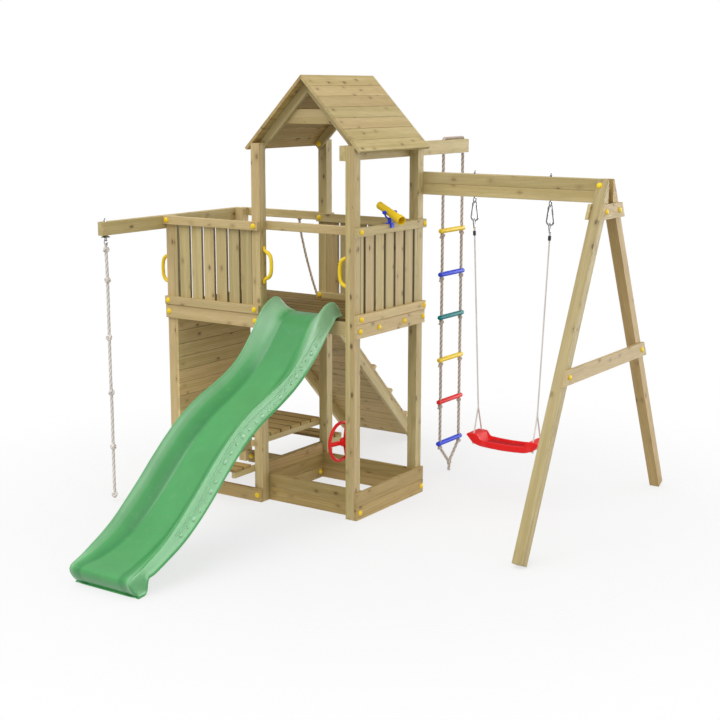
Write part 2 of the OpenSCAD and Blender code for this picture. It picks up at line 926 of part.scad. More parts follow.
function backwards(list) = [for (i = [len(list) - 1 : -1 : 0]) list[i]];

// The two lower and the two upper corners of the bead along the skirt
function bead(at, drop, half, hand) =
    let (rise = -bead_h * unit(drop))
    [at + drop + [hand * (half - slide_t), 0, 0], at + drop + [hand * (half + bead_w), 0, 0],
        at + drop + rise + [hand * (half + bead_w), 0, 0], at + drop + rise + [hand * half, 0, 0]];

function slide_ring(i) =
    let (row = slide_table[i],
        t = heading(slide_line, i),
        up = [0, t[2], -t[1]],
        at = slide_line[i] + [slide_x, 0, 0],
        drop = [0, row[4] * slide_skirt, -row[5] * slide_skirt],
        high = upper_half(row[2] * slide_wall, row[3]),
        low = lower_half(row[2] * slide_wall, row[3]),
        left_bead = bead(at, drop, hip(row[3]), -1),
        right_bead = bead(at, drop, hip(row[3]), 1))
    concat([left_bead[1], left_bead[0]], backwards(placed(low, at, up, -1)), [at - slide_t * up],
        placed(low, at, up, 1), [right_bead[0], right_bead[1], right_bead[2], right_bead[3]],
        backwards(placed(high, at, up, 1)), [at], placed(high, at, up, -1), [left_bead[3], left_bead[2]]);

module slide() {
    last = len(slide_line) - 1;
    size = len(slide_ring(0));
    half = size / 2;
    points = [for (i = [0 : last]) each slide_ring(i)];
    walls = [for (i = [0 : last - 1], k = [0 : size - 1])
        let (n = (k + 1) % size, p = i * size, q = p + size)
        each [[p + k, q + k, q + n], [p + k, q + n, p + n]]];
    first_cap = [for (k = [0 : half - 2])
        each [[k, k + 1, size - 2 - k], [k, size - 2 - k, size - 1 - k]]];
    base = last * size;
    last_cap = [for (k = [0 : half - 2])
        each [[base + k, base + size - 2 - k, base + k + 1],
            [base + k, base + size - 1 - k, base + size - 2 - k]]];
    color("mediumseagreen")
        polyhedron(points, concat(walls, first_cap, last_cap));
}

// Bolt caps

cap_in = 28;
rail_mid = rail_h / 2;

module bolt_caps() {
    front_xs = [left_face + cap_in, mid_right - cap_in - cap_in / 4];
    side_ys = [front_face + cap_in + cap_in / 2, rear_face - cap_in + cap_in / 4];
    rail_zs = [low_rail_z + rail_mid, rail_top - rail_mid];
    beam_z = platform_z - board_w / 2;
    ground_z = board_w / 2;
    tie_z = swing_low_z - board_w / 2;
    brace_mid = brace_z + board_w / 2;
    lean = tan(leg_lean);
    tie_x = leg_x + post_w + board_t;
    head_z = swing_top_z - cap_d;
    color("gold") {
        for (x = front_xs, z = rail_zs)
            cap_at([x, front_face - rail_t, z], to_front);
        for (x = front_xs, z = [beam_z, ground_z])
            cap_at([x, front_face - board_t, z], to_front);
        for (y = side_ys, z = rail_zs)
            cap_at([right_face + rail_t, y, z], to_right);
        for (y = side_ys, z = [beam_z, ground_z])
            cap_at([right_face + board_t, y, z], to_right);
        for (y = [front_inner + bay_d / 4, rear_inner - bay_d / 4])
            cap_at([right_face + board_t, y, beam_z], to_right);
        for (x = [mid_left + cap_in, right_inner - cap_in], z = [floor_z + cap_d / 2 + fit, rail_zs[1]])
            cap_at([x, rear_inner - rail_t, z], to_front);
        cap_at([mid_x + board_t / 2, rear_inner - board_t - cap_in, ground_z], to_right);
        cap_at([right_inner - cap_in, rear_inner - board_t, ground_z], to_front);
        cap_at([left_right + board_t + cap_in, rear_inner, ground_z], to_front);
        for (hand = [-1, 1])
            cap_at([roof_cx + hand * (bay_w / 2 + rail_t / 3), rear_inner - rail_t, tower_h - cap_in],
                to_front);
        for (y = [0, bay_d])
            cap_at([left_face - beam_t, y, rail_top - rope_beam_h / 2], to_left);
        for (hand = [-1, 1], z = [tie_z, brace_mid])
            cap_at([tie_x, swing_y + hand * (leg_spread / 2 - z * lean + half_post), z], to_right);
        for (hand = [-1, 1])
            cap_at([leg_x + cap_d / 2, swing_y + hand * (leg_spread / 2 + leg_outer - head_z * lean), head_z],
                [-hand * (90 - leg_lean), 0, 0]);
    }
}

// Grab handles

// Half of a handle as shares of its reach, its half length and its bar, from the upper foot to the middle
handle_shares = [[0.11, 1, 0.52], [0.12, 0.93, 0.62], [0.14, 0.85, 0.68], [0.2, 0.77, 0.78],
    [0.4, 0.71, 0.94], [0.62, 0.65, 1], [0.81, 0.55, 1], [0.93, 0.41, 1], [0.985, 0.22, 1], [1, 0, 1]];

// A bowed bar with flattened feet, ribbed along the grip, standing out along +X
module grab_handle(p, turn) {
    reach = handle_out - bar_d / 2;
    half = handle_l / 2;
    last = len(handle_shares) - 1;
    upper = [for (q = handle_shares) [q[0] * reach, q[1] * half, q[2] * bar_d / 2]];
    lower = [for (i = [last - 1 : -1 : 0]) [upper[i][0], -upper[i][1], upper[i][2]]];
    whole = concat(upper, lower);
    rows = concat([for (i = [0 : len(whole) - 2], j = [0, 1]) smooth(whole, i, j / 2)],
        [whole[len(whole) - 1]]);
    rib_share = 0.92;
    radii = [for (i = [0 : len(rows) - 1])
        rows[i][2] * (abs(rows[i][1]) < half / 2 && i % 2 == 1 ? rib_share : 1)];
    translate(p)
        rotate([0, 0, turn])
            tube([for (q = rows) [q[0], 0, q[1]]], radii, [0, 1, 0], 10);
}

module grab_handles() {
    color("gold") {
        grab_handle([mid_right, 0, handle_z], 0);
        grab_handle([right_inner, 0, handle_z], 180);
        for (y = [0, bay_d])
            grab_handle([left_face, y, wall_handle_z], 180);
    }
}

// Eyebolts, links and hook

// A shank with a nut above and a ring below, the ring's hole along X
module eyebolt(p, ring_r, wire, top_z) {
    nut_d = 22;
    nut_h = 11;
    translate(p) {
        rotate([0, 90, 0])
            rotate_extrude()
                translate([ring_r, 0])
                    circle(d = wire);
        translate([0, 0, ring_r])
            cylinder(h = top_z - p[2] - ring_r + 2 * nut_h, d = eye_shank_d);
        translate([0, 0, top_z - p[2]])
            cylinder(h = nut_h, d = nut_d, $fn = 6);
    }
}

module swing_eyebolts() {
    color(steel)
        for (x = eye_xs)
            eyebolt([x, swing_y, eye_z], eye_r, eye_wire, swing_top_z);
}

module rope_eyebolt() {
    color(steel)
        union() {
            eyebolt([rope_x, rope_y, rope_eye_z], rope_eye_r, rope_eye_wire, rail_top);
            translate([rope_x, rope_y, rope_low - cup_h])
                cylinder(h = cup_h, d1 = cup_d, d2 = 2 * eye_shank_d);
        }
}

// A closed link in the XZ plane: a narrow bow on top, its wire centred on the origin, and a wide one below
module link(top_r, low_r, l, wire) {
    low_z = l - wire - low_r;
    translate([0, 0, -top_r])
        rotate([90, 0, 0])
            rotate_extrude(angle = 180)
                translate([top_r, 0])
                    circle(d = wire);
    translate([0, 0, -low_z])
        rotate([90, 180, 0])
            rotate_extrude(angle = 180)
                translate([low_r, 0])
                    circle(d = wire);
    for (hand = [-1, 1]) {
        rod([hand * top_r, 0, -top_r], [hand * low_r, 0, -low_z], wire);
        translate([hand * top_r, 0, -top_r])
            sphere(d = wire * bend_share);
        translate([hand * low_r, 0, -low_z])
            sphere(d = wire * bend_share);
    }
}

module swing_snap_hooks() {
    color(steel)
        for (x = eye_xs)
            translate([x, swing_y, pivot_z])
                link(hook_top_r, hook_low_r, hook_l, hook_wire);
}

// A screw plate with an eye for the rope over the ramp
module rope_hook() {
    plate_d = 30;
    plate_t = 4;
    hook_r = 13;
    hook_d = 7;
    hook_at = [ramp_route[0][0], rear_face + rail_t, rail_top - rail_mid];
    color("dimgray")
        translate(hook_at)
            union() {
                rotate([-90, 0, 0])
                    cylinder(h = plate_t, d = plate_d);
                translate([0, plate_t + hook_r, 0])
                    rotate([0, 90, 0])
                        rotate_extrude()
                            translate([hook_r, 0])
                                circle(d = hook_d);
            }
}

// Ropes of the swing

function lean_x(x, z, hand) =
    let (s = (rope_top_z - z) / (rope_top_z - split_z))
    x - hand * s * (eye_gap - seat_rope_gap) / 2;

module swing_ropes() {
    bow_z = block_top_z - strand_depth;
    color(rope_tint)
        for (hand = [-1, 1]) {
            x = swing_x + hand * eye_gap / 2;
            low_x = swing_x + hand * seat_rope_gap / 2;
            translate([x, swing_y, loop_z])
                rotate([90, 0, 90])
                    rotate_extrude(angle = 180)
                        translate([loop_r, 0])
                            circle(d = swing_rope_d);
            for (side = [-1, 1]) {
                translate([x, swing_y + side * loop_r, loop_z])
                    sphere(d = swing_rope_d * bend_share);
                rod([x, swing_y + side * loop_r, loop_z], [x, swing_y, rope_top_z], swing_rope_d);
            }
            translate([x, swing_y, rope_top_z])
                sphere(d = swing_rope_d * bend_share);
            rod([x, swing_y, rope_top_z], [low_x, swing_y, split_z], swing_rope_d);
            translate([low_x, swing_y, split_z])
                sphere(d = swing_rope_d * splice_share);
            for (side = [-1, 1])
                rod([low_x, swing_y, split_z], [low_x, swing_y + side * strand_spread, bow_z], swing_rope_d);
        }
}

// A sleeve round each rope, just under its loop
module swing_ferrules() {
    top_share = 0.7;
    top_z = rope_top_z - swing_rope_d * top_share;
    color("dimgray")
        for (hand = [-1, 1]) {
            x = swing_x + hand * eye_gap / 2;
            low_x = lean_x(x, top_z - ferrule_l, hand);
            high_x = lean_x(x, top_z, hand);
            difference() {
                rod([high_x, swing_y, top_z], [low_x, swing_y, top_z - ferrule_l], ferrule_d);
                rod([x, swing_y, rope_top_z], [swing_x + hand * seat_rope_gap / 2, swing_y, split_z],
                    swing_rope_d + 2 * run_fit);
            }
        }
}

// Seat: a shallow moulded tray with raised end blocks that hold the strands
module swing_seat() {
    half = seat_l / 2;
    end_w = seat_l / 6;
    wall = 12;
    dip = 14;
    bow_z = block_top_z - strand_depth;
    outline = [[-half, block_top_z - wall], [-half + wall, block_top_z],
        [-half + end_w - wall, block_top_z - wall / 4], [-half + end_w + wall, seat_z + wall / 2],
        [-half + 2 * end_w, seat_z - wall / 3], [0, seat_z - wall / 2],
        [half - 2 * end_w, seat_z - wall / 3], [half - end_w - wall, seat_z + wall / 2],
        [half - end_w + wall, block_top_z - wall / 4],
        [half - wall, block_top_z], [half, block_top_z - wall], [half - end_w / 2, seat_z - dip],
        [half - end_w, seat_z - 2 * dip], [half - 2 * end_w, seat_low_z + wall / 4], [0, seat_low_z],
        [2 * end_w - half, seat_low_z + wall / 4], [end_w - half, seat_z - 2 * dip],
        [end_w / 2 - half, seat_z - dip]];
    color("red")
        difference() {
            translate([swing_x, swing_y + seat_w / 2, 0])
                rotate([90, 0, 0])
                    linear_extrude(seat_w)
                        polygon(outline);
            block([swing_x - half + end_w + 2 * wall, swing_y - seat_w / 2 + wall, seat_z - dip - wall / 2],
                [swing_x + half - end_w - 2 * wall, swing_y + seat_w / 2 - wall, block_top_z]);
            for (hand = [-1, 1], side = [-1, 1]) {
                x = swing_x + hand * seat_rope_gap / 2;
                rod([x, swing_y, split_z], [x, swing_y + side * strand_spread, bow_z] + strand_end(side),
                    swing_rope_d + 2 * run_fit);
            }
        }
}

// The bore for a strand runs one gap deeper than the strand
function strand_end(side) = fit * unit([0, side * strand_spread, block_top_z - strand_depth - split_z]);

// Rope ladder

// Two straight ropes with a knot under each rung, and their ends drawn together into one tail
module ladder_ropes() {
    cut_z = rung_zs[rung_count - 1] - rung_d / 2 - knot_d;
    tip = [ladder_x, ladder_mid, tip_z];
    color(rope_tint) {
        for (y = ladder_ys) {
            low = [ladder_x, y, cut_z];
            way = unit(tip - low);
            for (z = [ladder_pivot_z, cut_z])
                translate([ladder_x, y, z])
                    sphere(d = ladder_rope_d);
            rod([ladder_x, y, ladder_pivot_z], low, ladder_rope_d);
            for (z = rung_zs)
                translate([ladder_x, y, z - rung_d / 2 - knot_d / 2 - fit])
                    sphere(d = knot_d);
            rod(low + (ladder_rope_d / 2 + fit) * way, tip - (knot_d / 2 + fit) * way, ladder_rope_d);
        }
        translate(tip)
            sphere(d = knot_d);
        rod(tip, [ladder_x, ladder_mid, tail_z], ladder_rope_d);
    }
}

module rung(z) {
    difference() {
        translate([ladder_x, ladder_mid - rung_l / 2, z])
            rotate([-90, 0, 0])
                cylinder(h = rung_l, d = rung_d);
        for (y = ladder_ys)
            translate([ladder_x, y, z - rung_d])
                cylinder(h = 2 * rung_d, d = ladder_rope_d + 2 * fit);
    }
}

module rungs_yellow() {
    color("gold")
        for (i = [0, 3])
            rung(rung_zs[i]);
}

module rungs_blue() {
    color("royalblue")
        for (i = [1, 5])
            rung(rung_zs[i]);
}

module rung_teal() {
    color("teal")
        rung(rung_zs[2]);
}

module rung_red() {
    color("red")
        rung(rung_zs[4]);
}

// The ladder's rope goes up one hole, along the top of the beam and down the other
module ladder_rope_bridge() {
    r = ladder_rope_d / 2;
    z = ladder_top + r + fit;
    color(rope_tint) {
        rod([ladder_x, ladder_y0 + r + fit, z], [ladder_x, ladder_y1 - r - fit, z], ladder_rope_d);
        for (y = ladder_ys) {
            rod([ladder_x, y, ladder_low], [ladder_x, y, z], ladder_rope_d);
            translate([ladder_x, y, z])
                sphere(d = ladder_rope_d);
        }
    }
}

// Climbing rope

module rope_shackle() {
    color(steel)
        translate([rope_x, rope_y, shackle_z])
            link(shackle_r, shackle_r, shackle_l, shackle_wire);
}

// The rope's own loop through the shackle
module rope_loop() {
    color(rope_tint)
        translate([rope_x, rope_y, rope_loop_z])
            rotate([0, 90, 0])
                rotate_extrude()
                    translate([rope_loop_r, 0])
                        circle(d = rope_loop_d);
}

// A knot swells the rope where it is tied
knot_share = 1.3;
end_knot_share = 1.5;

function knot_swell(z, d) =
    let (near = min([for (k = climb_knot_zs) abs(z - k)]))
    near < d ? 1 + knot_share * cos(90 * near / d) : 1;

module climbing_rope() {
    steps = 4;
    last = len(climb_route) - 1;
    rows = concat([for (i = [0 : last - 1], j = [0 : steps - 1]) smooth(climb_route, i, j / steps)],
        [climb_route[last]]);
    radii = [for (p = rows) climb_rope_d / 2 * knot_swell(p[2], climb_rope_d)];
    color(rope_tint)
        tube(rows, radii, [1, 0, 0], 8);
}

// The knots at the two ends of the rope over the ramp
function end_swell(i, last) = i < 3 || i > last - 3 ? end_knot_share : 1;

module ramp_rope() {
    ramp_rope_d = 18;
    last = len(ramp_route) - 1;
    rows = concat([for (i = [0 : last - 1], j = [0, 1]) smooth(ramp_route, i, j / 2)], [ramp_route[last]]);
    radii = [for (i = [0 : 2 * last]) ramp_rope_d / 2 * end_swell(i, 2 * last)];
    color(rope_tint)
        tube(rows, radii, [1, 0, 0], 8);
}

// Steering wheel

module wheel_base() {
    base_share = 0.8;
    base_l = hub_off - hub_l / 2 - fit;
    color("firebrick")
        translate([right_inner, 0, wheel_z])
            rotate([0, -90, 0])
                union() {
                    cylinder(h = base_l, d = hub_d * base_share);
                    cylinder(h = hub_off, d = pin_d);
                }
}

// A dished wheel: the hub stands nearer to the post than the rim, and the spokes slope between them
module steering_wheel() {
    rim_r = wheel_r - rim_d / 2;
    hub_share = 0.8;
    spoke_l = norm([rim_r, wheel_dish]);
    spoke_tilt = atan2(wheel_dish, rim_r);
    color("red")
        translate([wheel_x, 0, wheel_z])
            rotate([0, -90, 0])
                difference() {
                    union() {
                        rotate_extrude()
                            translate([rim_r, 0])
                                circle(d = rim_d);
                        translate([0, 0, -wheel_dish - hub_l / 2])
                            cylinder(h = hub_l, d1 = hub_d, d2 = hub_d * hub_share);
                        for (a = [-90, 30, 150])
                            rotate([0, 0, a])
                                translate([0, 0, -wheel_dish])
                                    rotate([0, 90 - spoke_tilt, 0])
                                        linear_extrude(spoke_l)
                                            scale([spoke_t / spoke_w, 1])
                                                circle(d = spoke_w);
                    }
                    translate([0, 0, -wheel_dish - hub_l / 2 - over])
                        cylinder(h = hub_l / 2 + over + fit, d = pin_d + 2 * run_fit);
                }
}

// Telescope

module telescope_base() {
    clamp_w = 34;
    clamp_h = 30;
    clamp_t = 12;
    color("royalblue")
        translate([scope_x, scope_y, rail_top])
            union() {
                cylinder(h = disc_h, d = disc_d);
                translate([rail_t / 2, -clamp_w / 2, disc_h - clamp_h])
                    cube([clamp_t, clamp_w, clamp_h]);
                cylinder(h = 2 * disc_h + fork_hub_d / 2, d = pin_d);
            }
}

// A half ring on a pan hub, with a boss at each end for the tube's trunnions
module telescope_fork() {
    hub_low = disc_h + fit;
    boss_l = 14;
    color("royalblue")
        translate([scope_x, scope_y, rail_top])
            rotate([0, 0, scope_pan])
                difference() {
                    union() {
                        translate([0, 0, hub_low])
                            cylinder(h = scope_rise - fork_r - hub_low, d = fork_hub_d);
                        translate([0, 0, scope_rise])
                            rotate([0, 90, 0])
                                rotate([0, 0, -90])
                                    rotate_extrude(angle = 180)
                                        translate([fork_r, 0])
                                            circle(d = fork_d);
                        for (hand = [-1, 1])
                            translate([0, hand * fork_r, scope_rise])
                                rotate([90, 0, 0])
                                    cylinder(h = boss_l, d = 2 * trunnion_d, center = true);
                    }
                    translate([0, 0, hub_low - over])
                        cylinder(h = over + disc_h + fork_hub_d / 2 + fit, d = pin_d + 2 * run_fit);
                    translate([0, 0, scope_rise])
                        rotate([90, 0, 0])
                            cylinder(h = 4 * fork_r, d = trunnion_d + 2 * run_fit, center = true);
                }
}

// A hollow tapered tube with a rim at both ends, on two trunnions
module telescope_tube() {
    r = scope_d / 2;
    eye_share = 0.68;
    neck_share = 0.66;
    wide_share = 0.86;
    waist_share = 0.78;
    front_share = 0.53;
    wall = 4;
    front = scope_l * front_share;
    back = front - scope_l;
    rim = scope_l / 14;
    outline = [[r * eye_share - wall, back], [r * eye_share, back], [r * eye_share, back + rim],
        [r * neck_share, back + rim], [r * wide_share, front - 2 * rim], [r, front - 2 * rim], [r, front],
        [r - wall, front], [r * wide_share - wall, front - 2 * rim - wall]];
    color("gold")
        translate([scope_x, scope_y, scope_z])
            rotate([0, scope_tilt, scope_pan])
                union() {
                    rotate([0, 90, 0])
                        rotate_extrude()
                            polygon(outline);
                    for (hand = [-1, 1])
                        translate([0, hand * (r * waist_share - wall / 2), 0])
                            rotate([-90 * hand, 0, 0])
                                cylinder(h = fork_r - r * waist_share + wall, d = trunnion_d);
                }
}

post_front_right();
post_rear_right();
post_front_middle();
post_rear_middle();
post_front_left();
post_rear_left();
roof_boards_left();
roof_boards_right();
rafters();
collar_ties();
platform_beams();
floor_joists();
floor_planks();
rails_front();
rails_right();
rails_rear();
slats_front();
slats_right();
slats_rear();
cross_rails();
wall_planks();
ground_boards();
sandbox_boards();
table_slats();
bench_slats();
seat_bearers();
ramp_stringers();
ramp_planks();
ramp_cleats();
ladder_beam();
rope_beam();
swing_beam();
swing_leg_front();
swing_leg_rear();
leg_ties();
slide();
bolt_caps();
grab_handles();
swing_eyebolts();
rope_eyebolt();
rope_hook();
ladder_rope_bridge();
wheel_base();
telescope_base();
swing_snap_hooks();
swing_ropes();
swing_ferrules();
swing_seat();
ladder_ropes();
rungs_yellow();
rungs_blue();
rung_teal();
rung_red();
rope_shackle();
rope_loop();
climbing_rope();
telescope_fork();
telescope_tube();
steering_wheel();
ramp_rope();
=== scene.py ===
"""Finishes, ropes, moulded pieces, camera and light of the wooden climbing frame."""
import logging
import math
from collections.abc import Callable, Sequence
from dataclasses import dataclass, replace
from enum import Enum

import bpy
from mathutils import Matrix, Vector


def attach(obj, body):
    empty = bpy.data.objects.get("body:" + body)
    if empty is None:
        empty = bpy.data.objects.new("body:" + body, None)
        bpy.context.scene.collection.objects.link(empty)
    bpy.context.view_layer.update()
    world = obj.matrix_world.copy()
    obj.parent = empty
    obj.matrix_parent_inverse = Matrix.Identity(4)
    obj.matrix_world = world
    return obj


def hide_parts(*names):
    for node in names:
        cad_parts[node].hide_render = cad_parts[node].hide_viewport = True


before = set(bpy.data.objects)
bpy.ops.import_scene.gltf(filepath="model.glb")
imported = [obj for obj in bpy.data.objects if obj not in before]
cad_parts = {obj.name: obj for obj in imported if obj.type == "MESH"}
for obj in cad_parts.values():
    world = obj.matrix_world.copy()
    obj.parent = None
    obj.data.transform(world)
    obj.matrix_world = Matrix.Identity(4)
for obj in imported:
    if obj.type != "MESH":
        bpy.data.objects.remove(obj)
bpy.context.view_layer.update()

LOG = logging.getLogger("climbing_frame")
Triple = tuple[float, float, float]
Pair = tuple[float, float]
Color = tuple[float, float, float, float]
Display = tuple[int, int, int]
Piece = bpy.types.Object
Node = bpy.types.Node
Socket = bpy.types.NodeSocket
MM = 0.001
WHITE = (1.0, 1.0, 1.0, 1.0)
MIX_SOCKETS = {"FLOAT": (2, 3, 0), "VECTOR": (4, 5, 1), "RGBA": (6, 7, 2)}


class Slot(Enum):
    """Material slots of the record."""

    GREEN = "slide_green"
    YELLOW = "plastic_yellow"
    RED = "plastic_red"
    BLUE = "plastic_blue"
    TEAL = "plastic_teal"
    ROPE = "rope"
    STEEL = "zinc_steel"


class Body(Enum):
    """Bodies that pieces ride on."""

    FRAME = "frame"
    SWING = "swing"
    LADDER = "ladder"
    ROPE = "hanging_rope"
    FORK = "scope_fork"
    TUBE = "scope_tube"
    WHEEL = "wheel"


class SocketKind(Enum):
    """Kinds of sockets on a node group."""

    FLOAT = "NodeSocketFloat"
    VECTOR = "NodeSocketVector"
    COLOR = "NodeSocketColor"


def tone(red: int, green: int, blue: int) -> Color:
    """Turns a display colour into a linear one.

    Args:
        red: Red from 0 to 255.
        green: Green from 0 to 255.
        blue: Blue from 0 to 255.

    Returns:
        Linear red, green and blue with full alpha.
    """
    def linear(value: int) -> float:
        """Linear share of one channel."""
        share = value / 255
        return share / 12.92 if share <= 0.04045 else ((share + 0.055) / 1.055) ** 2.4

    return (linear(red), linear(green), linear(blue), 1.0)


class Graph:
    """A shader node tree with short calls for the nodes that the finishes use."""

    def __init__(self, tree: bpy.types.NodeTree) -> None:
        """Keeps the tree that the calls add to."""
        self.tree = tree

    def node(self, kind: str, *inputs: object, **settings: object) -> Node:
        """Adds a node.

        Args:
            kind: The node's type name.
            inputs: Sockets or constants for its first inputs, or None to pass one over.
            settings: Properties to set on it.

        Returns:
            The new node.
        """
        made = self.tree.nodes.new(kind)
        for key, value in settings.items():
            setattr(made, key, value)
        for socket, value in zip(made.inputs, inputs):
            self.put(socket, value)
        return made

    def put(self, socket: Socket, value: object) -> None:
        """Links a socket into an input, or sets the input's constant.

        Args:
            socket: The input.
            value: An output socket or a constant.
        """
        if isinstance(value, Socket):
            self.tree.links.new(value, socket)
        elif value is not None:
            socket.default_value = value

    def feed(self, node: Node, **values: object) -> Node:
        """Puts values into inputs by name.

        Args:
            node: The node.
            values: Value of each input, named with _ for a space.

        Returns:
            The node.
        """
        for name, value in values.items():
            self.put(node.inputs[name.replace("_", " ")], value)
        return node

    def calc(self, operation: str, first: object, second: object = None, third: object = None) -> Socket:
        """Adds a number sum."""
        return self.node("ShaderNodeMath", first, second, third, operation=operation).outputs[0]

    def vec(self, operation: str, first: object, second: object = None, scale: object = None) -> Socket:
        """Adds a vector sum, whose result is a number for a dot product or a length."""
        made = self.node("ShaderNodeVectorMath", first, second, None, scale, operation=operation)
        return made.outputs["Value" if operation in ("DOT_PRODUCT", "LENGTH") else "Vector"]

    def noise(self, vector: Socket, spread: Triple, detail: float = 2.0) -> Socket:
        """Adds a noise from 0 to 1, with its own number of cells per metre along each axis."""
        made = self.node("ShaderNodeTexNoise", self.vec("MULTIPLY", vector, spread))
        return self.feed(made, Scale=1.0, Detail=detail).outputs["Fac"]

    def remap(self, value: Socket, low: object, high: object, start: float = 0.0,
              end: float = 1.0) -> Socket:
        """Carries a range smoothly over to another one and holds the result inside it."""
        made = self.node("ShaderNodeMapRange", interpolation_type="SMOOTHSTEP")
        return self.feed(made, Value=value, From_Min=low, From_Max=high, To_Min=start, To_Max=end).outputs[0]

    def mix(self, share: object, first: object, second: object, blend: str = "MIX",
            kind: str = "RGBA") -> Socket:
        """Mixes two colours, vectors or numbers.

        Args:
            share: Share of the second one.
            first: First value or socket.
            second: Second value or socket.
            blend: How they are mixed.
            kind: RGBA, VECTOR or FLOAT.

        Returns:
            The mixed value.
        """
        made = self.node("ShaderNodeMix", data_type=kind, blend_type=blend)
        low, high, result = MIX_SOCKETS[kind]
        for number, value in ((0, share), (low, first), (high, second)):
            self.put(made.inputs[number], value)
        return made.outputs[result]

    def split(self, vector: Socket) -> tuple[Socket, ...]:
        """Gives the three parts of a vector."""
        return tuple(self.node("ShaderNodeSeparateXYZ", vector).outputs)

    def join(self, first: object, second: object, third: object) -> Socket:
        """Makes a vector of three numbers."""
        return self.node("ShaderNodeCombineXYZ", first, second, third).outputs[0]

    def where(self) -> Socket:
        """Gives the place on the object."""
        return self.node("ShaderNodeTexCoord").outputs["Object"]


class Effect:
    """A shared shader node group with colour, roughness and height as results."""

    name = "effect"
    takes: dict[str, SocketKind] = {}

    def tree(self) -> bpy.types.NodeTree:
        """Returns the group's tree, built at the first call."""
        return bpy.data.node_groups.get(self.name) or self._open()

    def _open(self) -> bpy.types.NodeTree:
        """Makes the group with its sockets and fills it.

        Returns:
            The new tree.
        """
        tree = bpy.data.node_groups.new(self.name, "ShaderNodeTree")
        for name, kind in self.takes.items():
            tree.interface.new_socket(name, in_out="INPUT", socket_type=kind.value)
        for name, kind in (("Color", SocketKind.COLOR), ("Roughness", SocketKind.FLOAT),
                           ("Height", SocketKind.FLOAT)):
            tree.interface.new_socket(name, in_out="OUTPUT", socket_type=kind.value)
        graph = Graph(tree)
        source = graph.node("NodeGroupInput").outputs
        sink = graph.node("NodeGroupOutput").inputs
        for name, value in self.fill(graph, source).items():
            graph.put(sink[name], value)
        return tree

    def fill(self, graph: Graph, source: bpy.types.NodeOutputs) -> dict[str, object]:
        """Adds the nodes of the group and says what goes to its outputs."""
        raise NotImplementedError


